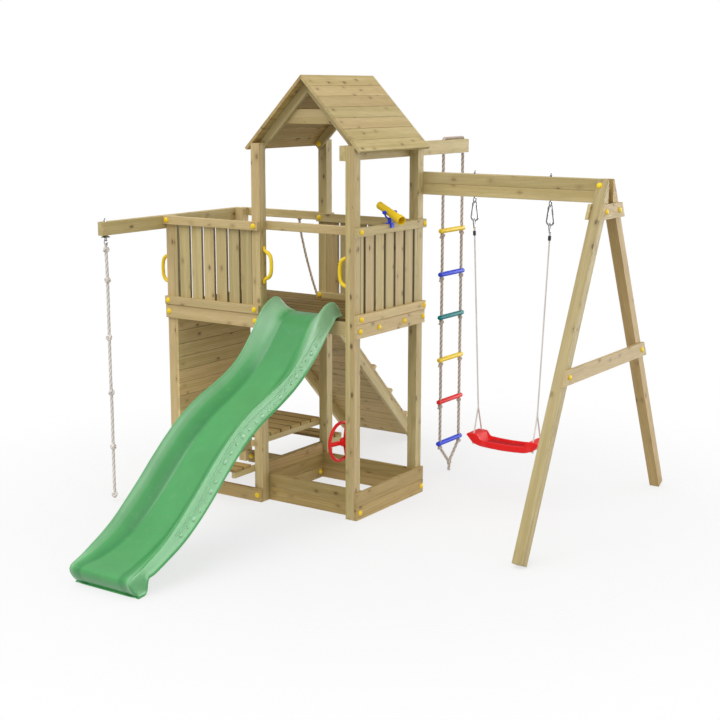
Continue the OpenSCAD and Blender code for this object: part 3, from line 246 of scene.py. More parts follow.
class PineEffect(Effect):
    """Growth rings, fibres, knots and blotches of planed pine along local X."""

    name = "pine_timber"
    takes = {"Position": SocketKind.VECTOR, "Face": SocketKind.VECTOR, "Seed": SocketKind.FLOAT,
             "Tone": SocketKind.FLOAT, "Tint": SocketKind.COLOR}
    dull, pale = (181, 162, 108), (197, 179, 128)
    heart, weathered = (201, 168, 124), (152, 134, 86)
    ring, halo, knot = (132, 106, 62), (134, 104, 60), (88, 66, 40)
    growth = 0.0085

    def fill(self, graph: Graph, source: bpy.types.NodeOutputs) -> dict[str, object]:
        """Adds rings bent round knots, streaks and a tint for each board.

        Args:
            graph: The tree to add to.
            source: The group's inputs.

        Returns:
            What goes to each of the group's outputs.
        """
        seed = source["Seed"]
        place = graph.vec("ADD", source["Position"], graph.vec("SCALE", (0.731, 0.417, 0.293), scale=seed))
        chance = graph.feed(graph.node("ShaderNodeTexWhiteNoise", noise_dimensions="1D"), W=seed)
        dice = graph.split(chance.outputs["Color"])

        cells = graph.node("ShaderNodeTexVoronoi", voronoi_dimensions="2D")
        face = graph.vec("ADD", graph.vec("MULTIPLY", source["Face"], (6.2, 10.5, 0.0)),
                         graph.vec("SCALE", (3.17, 1.73, 0.0), scale=seed))
        wander = graph.calc("SUBTRACT", graph.noise(place, (30.0, 60.0, 60.0)), 0.5)
        graph.feed(cells, Vector=face, Scale=1.0)
        draw = graph.split(cells.outputs["Color"])
        far = graph.calc("MULTIPLY_ADD", wander, 0.06, cells.outputs["Distance"])
        size = graph.remap(draw[0], 0.35, 0.95, 0.0, 0.1)
        knot = graph.remap(graph.calc("SUBTRACT", size, far), -0.05, 0.045)
        knot = graph.calc("MULTIPLY", knot, graph.remap(draw[1], 0.0, 1.0, 0.3, 1.0))
        present = graph.calc("GREATER_THAN", draw[0], 0.55)
        halo = graph.calc("MULTIPLY", graph.remap(far, 0.3, 0.06), present)

        warp = graph.calc("SUBTRACT", graph.noise(place, (0.9, 4.0, 4.0)), 0.5)
        along, across, through = graph.split(source["Position"])
        lean = graph.calc("MULTIPLY", along, graph.calc("SUBTRACT", dice[2], 0.5))
        side = graph.calc("ADD", across, graph.calc("MULTIPLY", graph.calc("SUBTRACT", dice[0], 0.5), 0.14))
        deep = graph.calc("ADD", through, graph.calc("MULTIPLY_ADD", dice[1], 0.1, 0.03))
        deep = graph.calc("MULTIPLY_ADD", lean, 0.04, deep)
        radius = graph.vec("LENGTH", graph.join(side, deep, 0.0))
        radius = graph.calc("MULTIPLY_ADD", warp, 0.03, radius)
        radius = graph.calc("MULTIPLY_ADD", halo, 0.007, radius)
        wave = graph.calc("SINE", graph.calc("MULTIPLY", radius, 2 * math.pi / self.growth))
        late = graph.remap(wave, 0.1, 1.0)

        streak = graph.noise(place, (0.9, 26.0, 26.0), 3.0)
        fibre = graph.noise(place, (9.0, 330.0, 330.0), 2.0)
        blotch = graph.noise(place, (1.7, 5.0, 5.0), 3.0)

        color = graph.mix(graph.remap(streak, 0.32, 0.68), tone(*self.dull), tone(*self.pale))
        pink = graph.calc("MULTIPLY", graph.remap(dice[0], 0.45, 1.0),
                          graph.remap(blotch, 0.3, 0.7, 0.2, 0.5))
        stains = ((pink, self.heart), (graph.remap(blotch, 0.55, 0.8, 0.0, 0.35), self.weathered),
                  (graph.calc("MULTIPLY", late, 0.22), self.ring),
                  (graph.calc("MULTIPLY", halo, 0.24), self.halo),
                  (graph.calc("MULTIPLY", knot, 0.84), self.knot))
        for share, stain in stains:
            color = graph.mix(share, color, tone(*stain))
        shade = graph.calc("MULTIPLY", graph.remap(fibre, 0.25, 0.75, 0.9, 1.08),
                           graph.remap(dice[1], 0.0, 1.0, 0.99, 1.19))
        color = graph.mix(1.0, color, source["Tint"], "MULTIPLY")
        color = graph.vec("SCALE", color, scale=graph.calc("MULTIPLY", shade, source["Tone"]))
        height = graph.calc("MULTIPLY_ADD", late, 0.35, graph.calc("MULTIPLY_ADD", knot, -0.5, fibre))
        return {"Color": color, "Roughness": graph.remap(fibre, 0.2, 0.8, 0.64, 0.48), "Height": height}


class PlasticEffect(Effect):
    """Moulded plastic: faint flow marks, orange peel and rubbed spots."""

    name = "moulded_plastic"
    takes = {"Position": SocketKind.VECTOR, "Base": SocketKind.COLOR, "Gloss": SocketKind.FLOAT}

    def fill(self, graph: Graph, source: bpy.types.NodeOutputs) -> dict[str, object]:
        """Adds colour flow, rubbed spots and a fine skin.

        Args:
            graph: The tree to add to.
            source: The group's inputs.

        Returns:
            What goes to each of the group's outputs.
        """
        place = source["Position"]
        flow = graph.noise(place, (5.0, 5.0, 3.0), 3.0)
        rub = graph.remap(graph.noise(place, (26.0, 26.0, 9.0), 5.0), 0.55, 0.8)
        peel = graph.noise(place, (900.0, 900.0, 900.0), 1.0)
        deep = graph.vec("SCALE", source["Base"], scale=graph.remap(flow, 0.25, 0.75, 0.93, 1.05))
        color = graph.mix(graph.calc("MULTIPLY", rub, 0.05), deep, tone(245, 240, 230))
        rough = graph.calc("SUBTRACT", graph.calc("MULTIPLY_ADD", rub, 0.16, 0.62),
                           graph.calc("MULTIPLY", source["Gloss"], 0.45))
        return {"Color": color, "Roughness": rough, "Height": graph.calc("MULTIPLY_ADD", flow, 2.0, peel)}


class RopeEffect(Effect):
    """Laid fibre: shade painted between the strands, with fine yarns and stray lighter fibres."""

    name = "laid_rope"
    takes = {"Position": SocketKind.VECTOR, "Lay": SocketKind.FLOAT, "Dark": SocketKind.COLOR,
             "Light": SocketKind.COLOR}

    def fill(self, graph: Graph, source: bpy.types.NodeOutputs) -> dict[str, object]:
        """Adds strand shade, yarns and fibre.

        Args:
            graph: The tree to add to.
            source: The group's inputs.

        Returns:
            What goes to each of the group's outputs.
        """
        place = source["Position"]
        yarn = graph.noise(place, (420.0, 420.0, 190.0), 2.0)
        patch = graph.noise(place, (7.0, 7.0, 7.0), 2.0)
        # Shade is painted into the grooves between the strands by the lay attribute.
        color = graph.mix(graph.remap(source["Lay"], 0.0, 0.75), source["Dark"], source["Light"])
        color = graph.mix(graph.remap(yarn, 0.4, 0.8, 0.0, 0.35), color, source["Dark"])
        color = graph.vec("SCALE", color, scale=graph.remap(patch, 0.3, 0.7, 0.92, 1.06))
        return {"Color": color, "Roughness": graph.remap(yarn, 0.2, 0.8, 0.95, 0.8),
                "Height": graph.calc("MULTIPLY_ADD", source["Lay"], 0.5, yarn)}


class SteelEffect(Effect):
    """Zinc plate: soft spangles and fine scratches."""

    name = "zinc_plate"
    takes = {"Position": SocketKind.VECTOR}

    def fill(self, graph: Graph, source: bpy.types.NodeOutputs) -> dict[str, object]:
        """Adds spangles and scratches.

        Args:
            graph: The tree to add to.
            source: The group's inputs.

        Returns:
            What goes to each of the group's outputs.
        """
        place = source["Position"]
        cells = graph.feed(graph.node("ShaderNodeTexVoronoi"), Vector=place, Scale=130.0)
        spangle = graph.split(cells.outputs["Color"])[0]
        scratch = graph.noise(place, (900.0, 900.0, 120.0), 2.0)
        color = graph.mix(spangle, tone(142, 143, 147), tone(198, 199, 202))
        rough = graph.calc("MULTIPLY_ADD", spangle, 0.12, graph.remap(scratch, 0.3, 0.7, 0.2, 0.34))
        return {"Color": color, "Roughness": rough, "Height": scratch}


@dataclass(frozen=True)
class Finish:
    """A material of one kind.

    Attributes:
        name: The material's name.
    """

    name: str

    def material(self) -> bpy.types.Material:
        """Returns the material, built at the first call."""
        return bpy.data.materials.get(self.name) or self._build()

    def _build(self) -> bpy.types.Material:
        """Makes the material with a principled shader and a bump.

        Returns:
            The new material.
        """
        made = bpy.data.materials.new(self.name)
        made.use_nodes = True
        made.node_tree.nodes.clear()
        graph = Graph(made.node_tree)
        shader = graph.node("ShaderNodeBsdfPrincipled")
        graph.node("ShaderNodeOutputMaterial", shader.outputs[0])
        made.diffuse_color = self.wire(graph, shader)
        return made

    def wire(self, graph: Graph, shader: Node) -> Color:
        """Feeds the shader and gives a flat colour for plain displays."""
        raise NotImplementedError

    def attach(self, graph: Graph, shader: Node, effect: Effect, bump: Pair,
               **feeds: object) -> None:
        """Puts a shared effect in and links its results to the shader.

        Args:
            graph: The material's tree.
            shader: The principled shader.
            effect: The shared effect.
            bump: Strength and depth in metres of the bump.
            feeds: What goes to each of the effect's inputs.
        """
        made = graph.feed(graph.node("ShaderNodeGroup", node_tree=effect.tree()), **feeds)
        relief = graph.feed(graph.node("ShaderNodeBump"), Strength=bump[0], Distance=bump[1],
                            Height=made.outputs["Height"])
        graph.feed(shader, Base_Color=made.outputs["Color"], Roughness=made.outputs["Roughness"],
                   Normal=relief.outputs[0])


@dataclass(frozen=True)
class Pine(Finish):
    """Treated pine of one node, with its grain direction and the repeat of its boards.

    Attributes:
        along: Direction of the grain.
        across: Direction across the boards.
        origin: A point on the edge of the first board.
        pitch: Distance from board to board.
        layer: Distance from layer to layer through the boards.
        seed: Number that sets this node's boards apart from the others.
        tone: Brightness of the wood.
        side: Brightness of the boards' narrow sides, below one as painted shade between the boards.
        sheen: How much light the planed faces shine back.
        tint: Share of red, green and blue that the wood keeps.
        fold: X that the two sides of the node mirror about, if they do.
        turned: Whether the node has boards along both X and Y.
    """

    along: Triple = (0.0, 0.0, 1.0)
    across: Triple = (1.0, 0.0, 0.0)
    origin: Triple = (0.0, 0.0, 0.0)
    pitch: float = 50.0
    layer: float = 50.0
    seed: float = 1.0
    tone: float = 1.0
    side: float = 1.0
    sheen: float = 0.5
    tint: Triple = (1.0, 1.0, 1.0)
    fold: float | None = None
    turned: bool = False

    def wire(self, graph: Graph, shader: Node) -> Color:
        """Turns the place into board coordinates and feeds the pine effect.

        Args:
            graph: The material's tree.
            shader: The principled shader.

        Returns:
            A flat colour for plain displays.
        """
        place = graph.where()
        if self.fold is not None:
            x, y, z = graph.split(place)
            place = graph.join(graph.calc("ABSOLUTE", graph.calc("SUBTRACT", x, self.fold)), y, z)
        if self.turned:
            x, y, z = graph.split(place)
            facing = graph.split(graph.node("ShaderNodeNewGeometry").outputs["Normal"])
            swap = graph.calc("GREATER_THAN", graph.calc("ABSOLUTE", facing[0]), 0.5)
            local = graph.mix(swap, graph.join(x, z, y), graph.join(y, z, x), kind="VECTOR")
            parts = graph.split(local)
            face = local
            bright: object = self.tone
        else:
            through = Vector(self.along).cross(Vector(self.across))
            local = graph.join(*(graph.vec("DOT_PRODUCT", place, tuple(axis))
                                 for axis in (self.along, self.across, through)))
            parts = graph.split(local)
            normal = graph.node("ShaderNodeNewGeometry").outputs["Normal"]
            facing = graph.vec("DOT_PRODUCT", normal, self.across)
            edge = graph.calc("GREATER_THAN", graph.calc("ABSOLUTE", facing), 0.7)
            face = graph.join(parts[0], graph.mix(edge, parts[1], parts[2], kind="FLOAT"), 0.0)
            # The boards' narrow sides are scaled by side, below one: painted shade between the boards.
            bright = graph.calc("MULTIPLY_ADD", edge, self.tone * (self.side - 1.0), self.tone)
        start = Vector(self.origin).dot(Vector(self.across))
        row = graph.calc("FLOOR", graph.calc("DIVIDE", graph.calc("SUBTRACT", parts[1], start), self.pitch))
        sheet = graph.calc("FLOOR", graph.calc("DIVIDE", parts[2], self.layer))
        layers = graph.calc("MULTIPLY_ADD", sheet, 5.71, self.seed * 11.3)
        seed = graph.calc("MULTIPLY_ADD", row, 3.17, layers)
        self.attach(graph, shader, PineEffect(), (0.35, 0.0012), Position=local, Face=face, Seed=seed,
                    Tone=bright, Tint=(*self.tint, 1.0))
        graph.put(shader.inputs["Specular IOR Level"], self.sheen)
        return tone(184, 166, 114)


@dataclass(frozen=True)
class Plastic(Finish):
    """Moulded plastic.

    Attributes:
        color: Display colour.
        gloss: Share of gloss.
        coat: Weight of the clear skin.
        shine: How much light the skin shines back.
        painted_shade: Display colour painted as shade in the creases, where an attribute on the piece's own
            mesh is above zero.
        painted_sheen: Display colour painted as a sheen on the rims, where that attribute is below zero.
    """

    color: Display = (200, 0, 0)
    gloss: float = 0.6
    coat: float = 0.0
    shine: float = 0.5
    painted_shade: Display | None = None
    painted_sheen: Display = (152, 202, 158)

    def wire(self, graph: Graph, shader: Node) -> Color:
        """Feeds the plastic effect.

        Args:
            graph: The material's tree.
            shader: The principled shader.

        Returns:
            A flat colour for plain displays.
        """
        base: object = tone(*self.color)
        # Where the piece's mesh carries the attribute, shade is painted into the creases and a sheen onto
        # the rims.
        if self.painted_shade:
            hollow = graph.node("ShaderNodeAttribute", attribute_name="hollow").outputs["Fac"]
            base = graph.mix(graph.calc("MAXIMUM", hollow, 0.0), base, tone(*self.painted_shade))
            rims = graph.calc("MAXIMUM", graph.calc("MULTIPLY", hollow, -1.0), 0.0)
            base = graph.mix(rims, base, tone(*self.painted_sheen))
        self.attach(graph, shader, PlasticEffect(), (0.12, 0.0004), Position=graph.where(), Base=base,
                    Gloss=self.gloss)
        graph.feed(shader, Specular_IOR_Level=self.shine, Coat_Weight=self.coat, Coat_Roughness=0.24)
        return tone(*self.color)


@dataclass(frozen=True)
class Fibre(Finish):
    """Laid rope fibre, with shade painted between the strands by the piece's own lay attribute.

    Attributes:
        groove_shade: Display colour painted between the strands as shade.
        light: Display colour on the strands.
    """

    groove_shade: Display = (136, 119, 103)
    light: Display = (222, 209, 196)

    def wire(self, graph: Graph, shader: Node) -> Color:
        """Feeds the rope effect.

        Args:
            graph: The material's tree.
            shader: The principled shader.

        Returns:
            A flat colour for plain displays.
        """
        lay = graph.node("ShaderNodeAttribute", attribute_name="lay").outputs["Fac"]
        self.attach(graph, shader, RopeEffect(), (0.5, 0.0008), Position=graph.where(), Lay=lay,
                    Dark=tone(*self.groove_shade), Light=tone(*self.light))
        graph.put(shader.inputs["Specular IOR Level"], 0.15)
        return tone(*self.light)


@dataclass(frozen=True)
class Zinc(Finish):
    """Zinc plated steel."""

    def wire(self, graph: Graph, shader: Node) -> Color:
        """Feeds the zinc effect.

        Args:
            graph: The material's tree.
            shader: The principled shader.

        Returns:
            A flat colour for plain displays.
        """
        self.attach(graph, shader, SteelEffect(), (0.08, 0.0003), Position=graph.where())
        graph.put(shader.inputs["Metallic"], 1.0)
        return tone(190, 190, 192)


# The slide's skin has shade painted into its creases and a sheen painted on its rims and upper ears, by an
# attribute on its mesh.
GREEN = Plastic("slide_plastic", color=(78, 164, 93), gloss=0.62, coat=0.6, painted_shade=(56, 142, 76))
# The ornament is a paler green than the skin: a painted highlight on its studs and rib.
PAINTED_HIGHLIGHT_GREEN = Plastic("slide_ornament_plastic", color=(122, 190, 134), gloss=0.62, coat=0.6)
# The tray sheet's deeper red is painted shade in the seat's recessed tray.
PAINTED_SHADE_RED = Plastic("seat_tray_plastic", color=(184, 26, 30), gloss=0.2, shine=0.1)
YELLOW = Plastic("yellow_plastic", color=(250, 213, 40), gloss=0.55, shine=0.3)
RED = Plastic("red_plastic", color=(234, 34, 34), gloss=0.5, shine=0.22)
BLUE = Plastic("blue_plastic", color=(52, 76, 222), gloss=0.5, shine=0.22)
TEAL = Plastic("teal_plastic", color=(8, 126, 128), gloss=0.5, shine=0.2)
BLACK = Plastic("black_plastic", color=(44, 44, 46), gloss=0.35)
FIBRE = Fibre("rope_fibre")
PALE = Fibre("rope_pale", groove_shade=(188, 175, 164), light=(236, 230, 223))
ZINC = Zinc("zinc_steel_plate")


def smooth(points: Sequence[Vector], steps: int) -> list[Vector]:
    """Runs a smooth curve through points.

    Args:
        points: The points.
        steps: Steps from one point to the next.

    Returns:
        Points along the curve.
    """
    last = len(points) - 1
    curve = []
    for index in range(last):
        a, b = points[max(index - 1, 0)], points[index]
        c, d = points[index + 1], points[min(index + 2, last)]
        for step in range(steps):
            u = step / steps
            curve.append(b + u * (c - a) / 2 + u * u * (a - 2.5 * b + 2 * c - d / 2)
                         + u * u * u * (3 * b - a - 3 * c + d) / 2)
    return curve + [points[last].copy()]


def length_of(points: Sequence[Vector]) -> float:
    """Returns the length of a line through points."""
    return sum((q - p).length for p, q in zip(points, points[1:]))


def fan(end: float, count: int) -> list[float]:
    """Returns angles from zero to an end in even steps."""
    return [end * number / count for number in range(count + 1)]


def even(points: Sequence[Vector], count: int) -> list[Vector]:
    """Spaces points evenly along a line.

    Args:
        points: The line.
        count: How many points to give.

    Returns:
        Points the same distance apart along the line.
    """
    total, walked, index = length_of(points), 0.0, 0
    placed = [points[0].copy()]
    for number in range(1, count - 1):
        goal = total * number / (count - 1)
        while walked + (points[index + 1] - points[index]).length < goal:
            walked += (points[index + 1] - points[index]).length
            index += 1
        leg = points[index + 1] - points[index]
        placed.append(points[index] + leg * ((goal - walked) / leg.length))
    return placed + [points[-1].copy()]


def frames(points: Sequence[Vector]) -> list[tuple[Vector, Vector]]:
    """Carries a pair of axes along a line without twisting them.

    Args:
        points: The line.

    Returns:
        Two directions across the line at each point.
    """
    last = len(points) - 1
    ways = [(points[min(i + 1, last)] - points[max(i - 1, 0)]).normalized() for i in range(last + 1)]
    first = Vector((1, 0, 0)) if abs(ways[0].x) < 0.8 else Vector((0, 1, 0))
    side = (first - ways[0] * first.dot(ways[0])).normalized()
    pairs = []
    for way in ways:
        side = (side - way * side.dot(way)).normalized()
        pairs.append((side, way.cross(side)))
    return pairs


def spoke(side: Vector, other: Vector, share: float) -> Vector:
    """Returns the direction at a share of the way round two axes."""
    angle = 2 * math.pi * share
    return side * math.cos(angle) + other * math.sin(angle)


class Workshop:
    """Modelling moves that the pieces share."""

    @staticmethod
    def pick(*objects: Piece) -> None:
        """Selects only these objects and makes the first the active one.

        Args:
            objects: The objects.
        """
        bpy.ops.object.select_all(action="DESELECT")
        for obj in objects:
            obj.select_set(True)
        bpy.context.view_layer.objects.active = objects[0]

    @staticmethod
    def sheet(name: str, rows: int, columns: int,
              place: Callable[[float, int], Vector]) -> Piece:
        """Lays a grid and moves its points.

        Args:
            name: The piece's name.
            rows: Points along it.
            columns: Points round or across it.
            place: Where the point at a share across and in a row goes.

        Returns:
            The new piece.
        """
        bpy.ops.object.select_all(action="DESELECT")
        bpy.ops.mesh.primitive_grid_add(x_subdivisions=columns - 1, y_subdivisions=rows - 1, size=1,
                                        calc_uvs=True)
        obj = bpy.context.object
        obj.name = name
        for vertex in obj.data.vertices:
            vertex.co = place(vertex.co.x + 0.5, round((vertex.co.y + 0.5) * (rows - 1)))
        return obj

    @staticmethod
    def close(obj: Piece) -> None:
        """Joins the edges of a rolled sheet, fills its ends and turns its faces outward.

        Args:
            obj: The sheet.
        """
        Workshop.pick(obj)
        bpy.ops.object.mode_set(mode="EDIT")
        bpy.ops.mesh.select_all(action="SELECT")
        bpy.ops.mesh.remove_doubles(threshold=1e-6)
        bpy.ops.mesh.fill_holes(sides=0)
        bpy.ops.mesh.select_all(action="SELECT")
        bpy.ops.mesh.normals_make_consistent(inside=False)
        bpy.ops.object.mode_set(mode="OBJECT")
        bpy.ops.object.shade_smooth()

    @staticmethod
    def apply(obj: Piece, kind: str, **settings: object) -> None:
        """Adds a modifier and applies it.

        Args:
            obj: The piece.
            kind: The modifier's type name.
            settings: Properties to set on it.
        """
        Workshop.pick(obj)
        made = obj.modifiers.new(kind.lower(), kind)
        for key, value in settings.items():
            setattr(made, key, value)
        bpy.ops.object.modifier_apply(modifier=made.name)

    @staticmethod
    def bevel(obj: Piece, width: float, segments: int, degrees: float) -> None:
        """Rounds the edges that are sharper than an angle."""
        Workshop.apply(obj, "BEVEL", width=width, segments=segments, limit_method="ANGLE",
                       angle_limit=math.radians(degrees))

    @staticmethod
    def soften(obj: Piece, degrees: float = 40.0) -> None:
        """Shades a piece smooth except over sharp edges."""
        Workshop.pick(obj)
        bpy.ops.object.shade_smooth_by_angle(angle=math.radians(degrees))

    @staticmethod
    def merge(name: str, objects: Sequence[Piece]) -> Piece:
        """Joins pieces into one.

        Args:
            name: Name of the joined piece.
            objects: The pieces.

        Returns:
            The joined piece.
        """
        Workshop.pick(*objects)
        if len(objects) > 1:
            bpy.ops.object.join()
        objects[0].name = name
        return objects[0]

    @staticmethod
    def turned(name: str, profile: Sequence[Pair], at: Triple, axis: Triple,
               sides: int = 40) -> Piece:
        """Turns a profile round an axis.

        Args:
            name: The piece's name.
            profile: Distance along the axis and radius of each point.
            at: Where the axis starts.
            axis: Its direction.
            sides: Points round it.

        Returns:
            The new piece.
        """
        way, base = Vector(axis).normalized(), Vector(at)
        side, other = frames([Vector(), way])[0]

        def place(u: float, row: int) -> Vector:
            """Point at a share round and in a row."""
            run, radius = profile[row]
            return base + way * run + spoke(side, other, u) * radius

        obj = Workshop.sheet(name, len(profile), sides + 1, place)
        Workshop.close(obj)
        return obj


def settle(obj: Piece, body: Body, slot: Slot, finish: Finish, *nodes: str) -> Piece:
    """Gives a piece its finish, its body and the nodes that it stands for.

    Args:
        obj: The piece.
        body: The body that it rides on.
        slot: Its material slot in the record; not used.
        finish: Its material.
        nodes: CAD nodes that it replaces.

    Returns:
        The piece.
    """
    obj.data.materials.clear()
    obj.data.materials.append(finish.material())
    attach(obj, body.value)
    if nodes:
        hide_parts(*nodes)
    LOG.info("piece %s on %s: %d faces", obj.name, body.value, len(obj.data.polygons))
    return obj


def dress(node: str, finish: Finish) -> None:
    """Gives a CAD node its finish."""
    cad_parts[node].material_slots[0].material = finish.material()
    LOG.info("node %s: %s", node, finish.name)


@dataclass
class Studio:
    """Camera, light and floor.

    Attributes:
        eye: Place of the camera.
        yaw: Turn of the camera from +Y.
        pitch: Tilt of the camera.
        roll: Roll of the camera.
        lens: Focal length.
        sensor: Width of the sensor.
        ray: Direction of the sunlight.
        sun: Strength of the sun and its width in degrees.
        band: Direction of the band of light that shows in reflections.
        middle: Middle of the floor.
    """

    eye: Triple = (4.9453, -7.2282, 2.8007)
    yaw: float = 0.5947
    pitch: float = -0.1948
    roll: float = 0.0016
    lens: float = 68.862
    sensor: float = 36.0
    ray: Triple = (0.08, 0.56, -0.82)
    sun: Pair = (1.2, 50.0)
    band: Triple = (0.82, 0.574, 0.0)
    middle: Triple = (-0.1, 0.4, -0.0005)

    def build(self) -> None:
        """Sets up the camera, the light and the floor."""
        self._camera()
        self._light()
        self._floor()

    def _camera(self) -> None:
        """Adds the camera where the view was taken from."""
        turn = (Matrix.Rotation(self.yaw, 4, "Z") @ Matrix.Rotation(math.pi / 2 + self.pitch, 4, "X")
                @ Matrix.Rotation(self.roll, 4, "Z"))
        bpy.ops.object.camera_add()
        camera = bpy.context.object
        camera.matrix_world = Matrix.Translation(self.eye) @ turn
        camera.data.lens = self.lens
        camera.data.sensor_width = self.sensor
        camera.data.clip_end = 200.0
        bpy.context.scene.camera = camera

    def _light(self) -> None:
        """Adds a bright room, a band of light that only reflections show, and one broad, soft sun."""
        scene = bpy.context.scene
        scene.view_settings.view_transform = "Standard"
        world = scene.world or bpy.data.worlds.new("room")
        scene.world = world
        world.use_nodes = True
        world.node_tree.nodes.clear()
        graph = Graph(world.node_tree)
        path = graph.node("ShaderNodeLightPath").outputs
        way = graph.node("ShaderNodeTexCoord").outputs["Generated"]
        height = graph.split(way)[2]
        fill = graph.mix(graph.remap(height, -0.3, 0.8), (0.48, 0.48, 0.485, 1), (0.98, 0.98, 0.98, 1))
        level = graph.remap(graph.calc("ABSOLUTE", graph.calc("SUBTRACT", height, 0.06)), 0.45, 0.16)
        ahead = graph.remap(graph.vec("DOT_PRODUCT", way, self.band), 0.15, 0.6)
        panel = graph.calc("MULTIPLY", level, ahead)
        sheen = graph.mix(panel, (0.36, 0.36, 0.365, 1), (5.0, 5.0, 5.0, 1))
        seen = graph.mix(path["Is Camera Ray"], graph.mix(path["Is Glossy Ray"], fill, sheen), WHITE)
        graph.node("ShaderNodeOutputWorld", graph.node("ShaderNodeBackground", seen).outputs[0])
        turn = Vector(self.ray).to_track_quat("-Z", "Y").to_euler()
        bpy.ops.object.light_add(type="SUN", rotation=turn)
        lamp = bpy.context.object.data
        lamp.energy = self.sun[0]
        lamp.angle = math.radians(self.sun[1])

    def _floor(self) -> None:
        """Adds a pale floor that fades into the white far from the object."""
        bpy.ops.mesh.primitive_circle_add(vertices=96, radius=12, fill_type="NGON", location=self.middle)
        floor = bpy.context.object
        floor.name = "floor"
        made = bpy.data.materials.new("floor_white")
        made.use_nodes = True
        graph = Graph(made.node_tree)
        shader = made.node_tree.nodes["Principled BSDF"]
        place = graph.where()
        speck = graph.noise(place, (2.0, 2.0, 2.0), 3.0)
        graph.feed(shader, Base_Color=graph.mix(speck, (0.34, 0.34, 0.34, 1), (0.36, 0.36, 0.36, 1)),
                   Roughness=0.9, Specular_IOR_Level=0.0, Emission_Color=WHITE, Emission_Strength=0.5,
                   Alpha=graph.remap(graph.vec("LENGTH", place), 1.6, 4.0, 0.6, 0.0))
        floor.data.materials.append(made)


@dataclass
class LaidRope:
    """A rope of twisted strands along a line.

    Attributes:
        name: The piece's name.
        route: Points that it follows.
        diameter: Thickness over the strands.
        lay: Length of one full twist.
        depth: How deep the grooves are, as a share of the radius.
        strands: Number of strands.
        sides: Points round it.
        step: Distance between rings of points.
        ring: Whether its ends meet.
    """

    name: str
    route: Sequence[Vector]
    diameter: float
    lay: float = 0.055
    depth: float = 0.24
    strands: int = 3
    sides: int = 18
    step: float = 0.0045
    ring: bool = False

    def build(self) -> Piece:
        """Twists the strands along the route.

        Returns:
            The rope.
        """
        total = length_of(self.route)
        rows = max(8, math.ceil(total / self.step))
        line = even(self.route, rows)
        axes = frames(line)
        turns = round(total / self.lay) if self.ring else total / self.lay

        def lobe(u: float, v: float) -> float:
            """Height of the strands at a share round and a share along."""
            return abs(math.cos(self.strands / 2 * 2 * math.pi * u - math.pi * turns * v * self.strands / 2))

        def place(u: float, row: int) -> Vector:
            """Point at a share round and in a row."""
            groove = self.depth * (1 - lobe(u, row / (rows - 1)) ** 0.7)
            return line[row] + spoke(*axes[row], u) * (self.diameter / 2 * (1 - groove))

        obj = Workshop.sheet(self.name, rows, self.sides + 1, place)
        # The lay attribute gives the strand height round the rope, which the rope finish uses to paint shade
        # between the strands.
        shade = obj.data.attributes.new("lay", "FLOAT", "POINT")
        for index, value in enumerate(shade.data):
            column, row = index % (self.sides + 1), index // (self.sides + 1)
            value.value = lobe(column / self.sides, row / (rows - 1))
        Workshop.close(obj)
        return obj


def tube(name: str, route: Sequence[Vector], diameter: float, ring: bool = False) -> Piece:
    """Runs a plain round bar along a line."""
    return LaidRope(name, route, diameter, depth=0.0, sides=14, step=0.004, ring=ring).build()


@dataclass
class Knot:
    """A tight overhand knot.

    Attributes:
        at: Middle of the knot.
        size: Width over the knot and thickness of the rope in it, in millimetres.
        turn: Turn about the vertical, in degrees.
    """

    at: Vector
    size: Pair
    turn: float = 0.0

    def build(self, name: str) -> Piece:
        """Ties the knot.

        Args:
            name: The piece's name.

        Returns:
            The knot.
        """
        width, rope = self.size[0] * MM, self.size[1] * MM
        reach = (width - rope) / 2 / 3
        turn = Matrix.Rotation(math.radians(self.turn), 3, "Z")
        points = []
        for angle in fan(2 * math.pi, 60):
            x = math.sin(angle) + 2 * math.sin(2 * angle)
            y = math.cos(angle) - 2 * math.cos(2 * angle)
            z = -math.sin(3 * angle)
            points.append(self.at + turn @ Vector((reach * x, reach * y, rope * 0.42 * z)))
        return LaidRope(name, points, rope, lay=rope * 2.6, sides=12, ring=True).build()


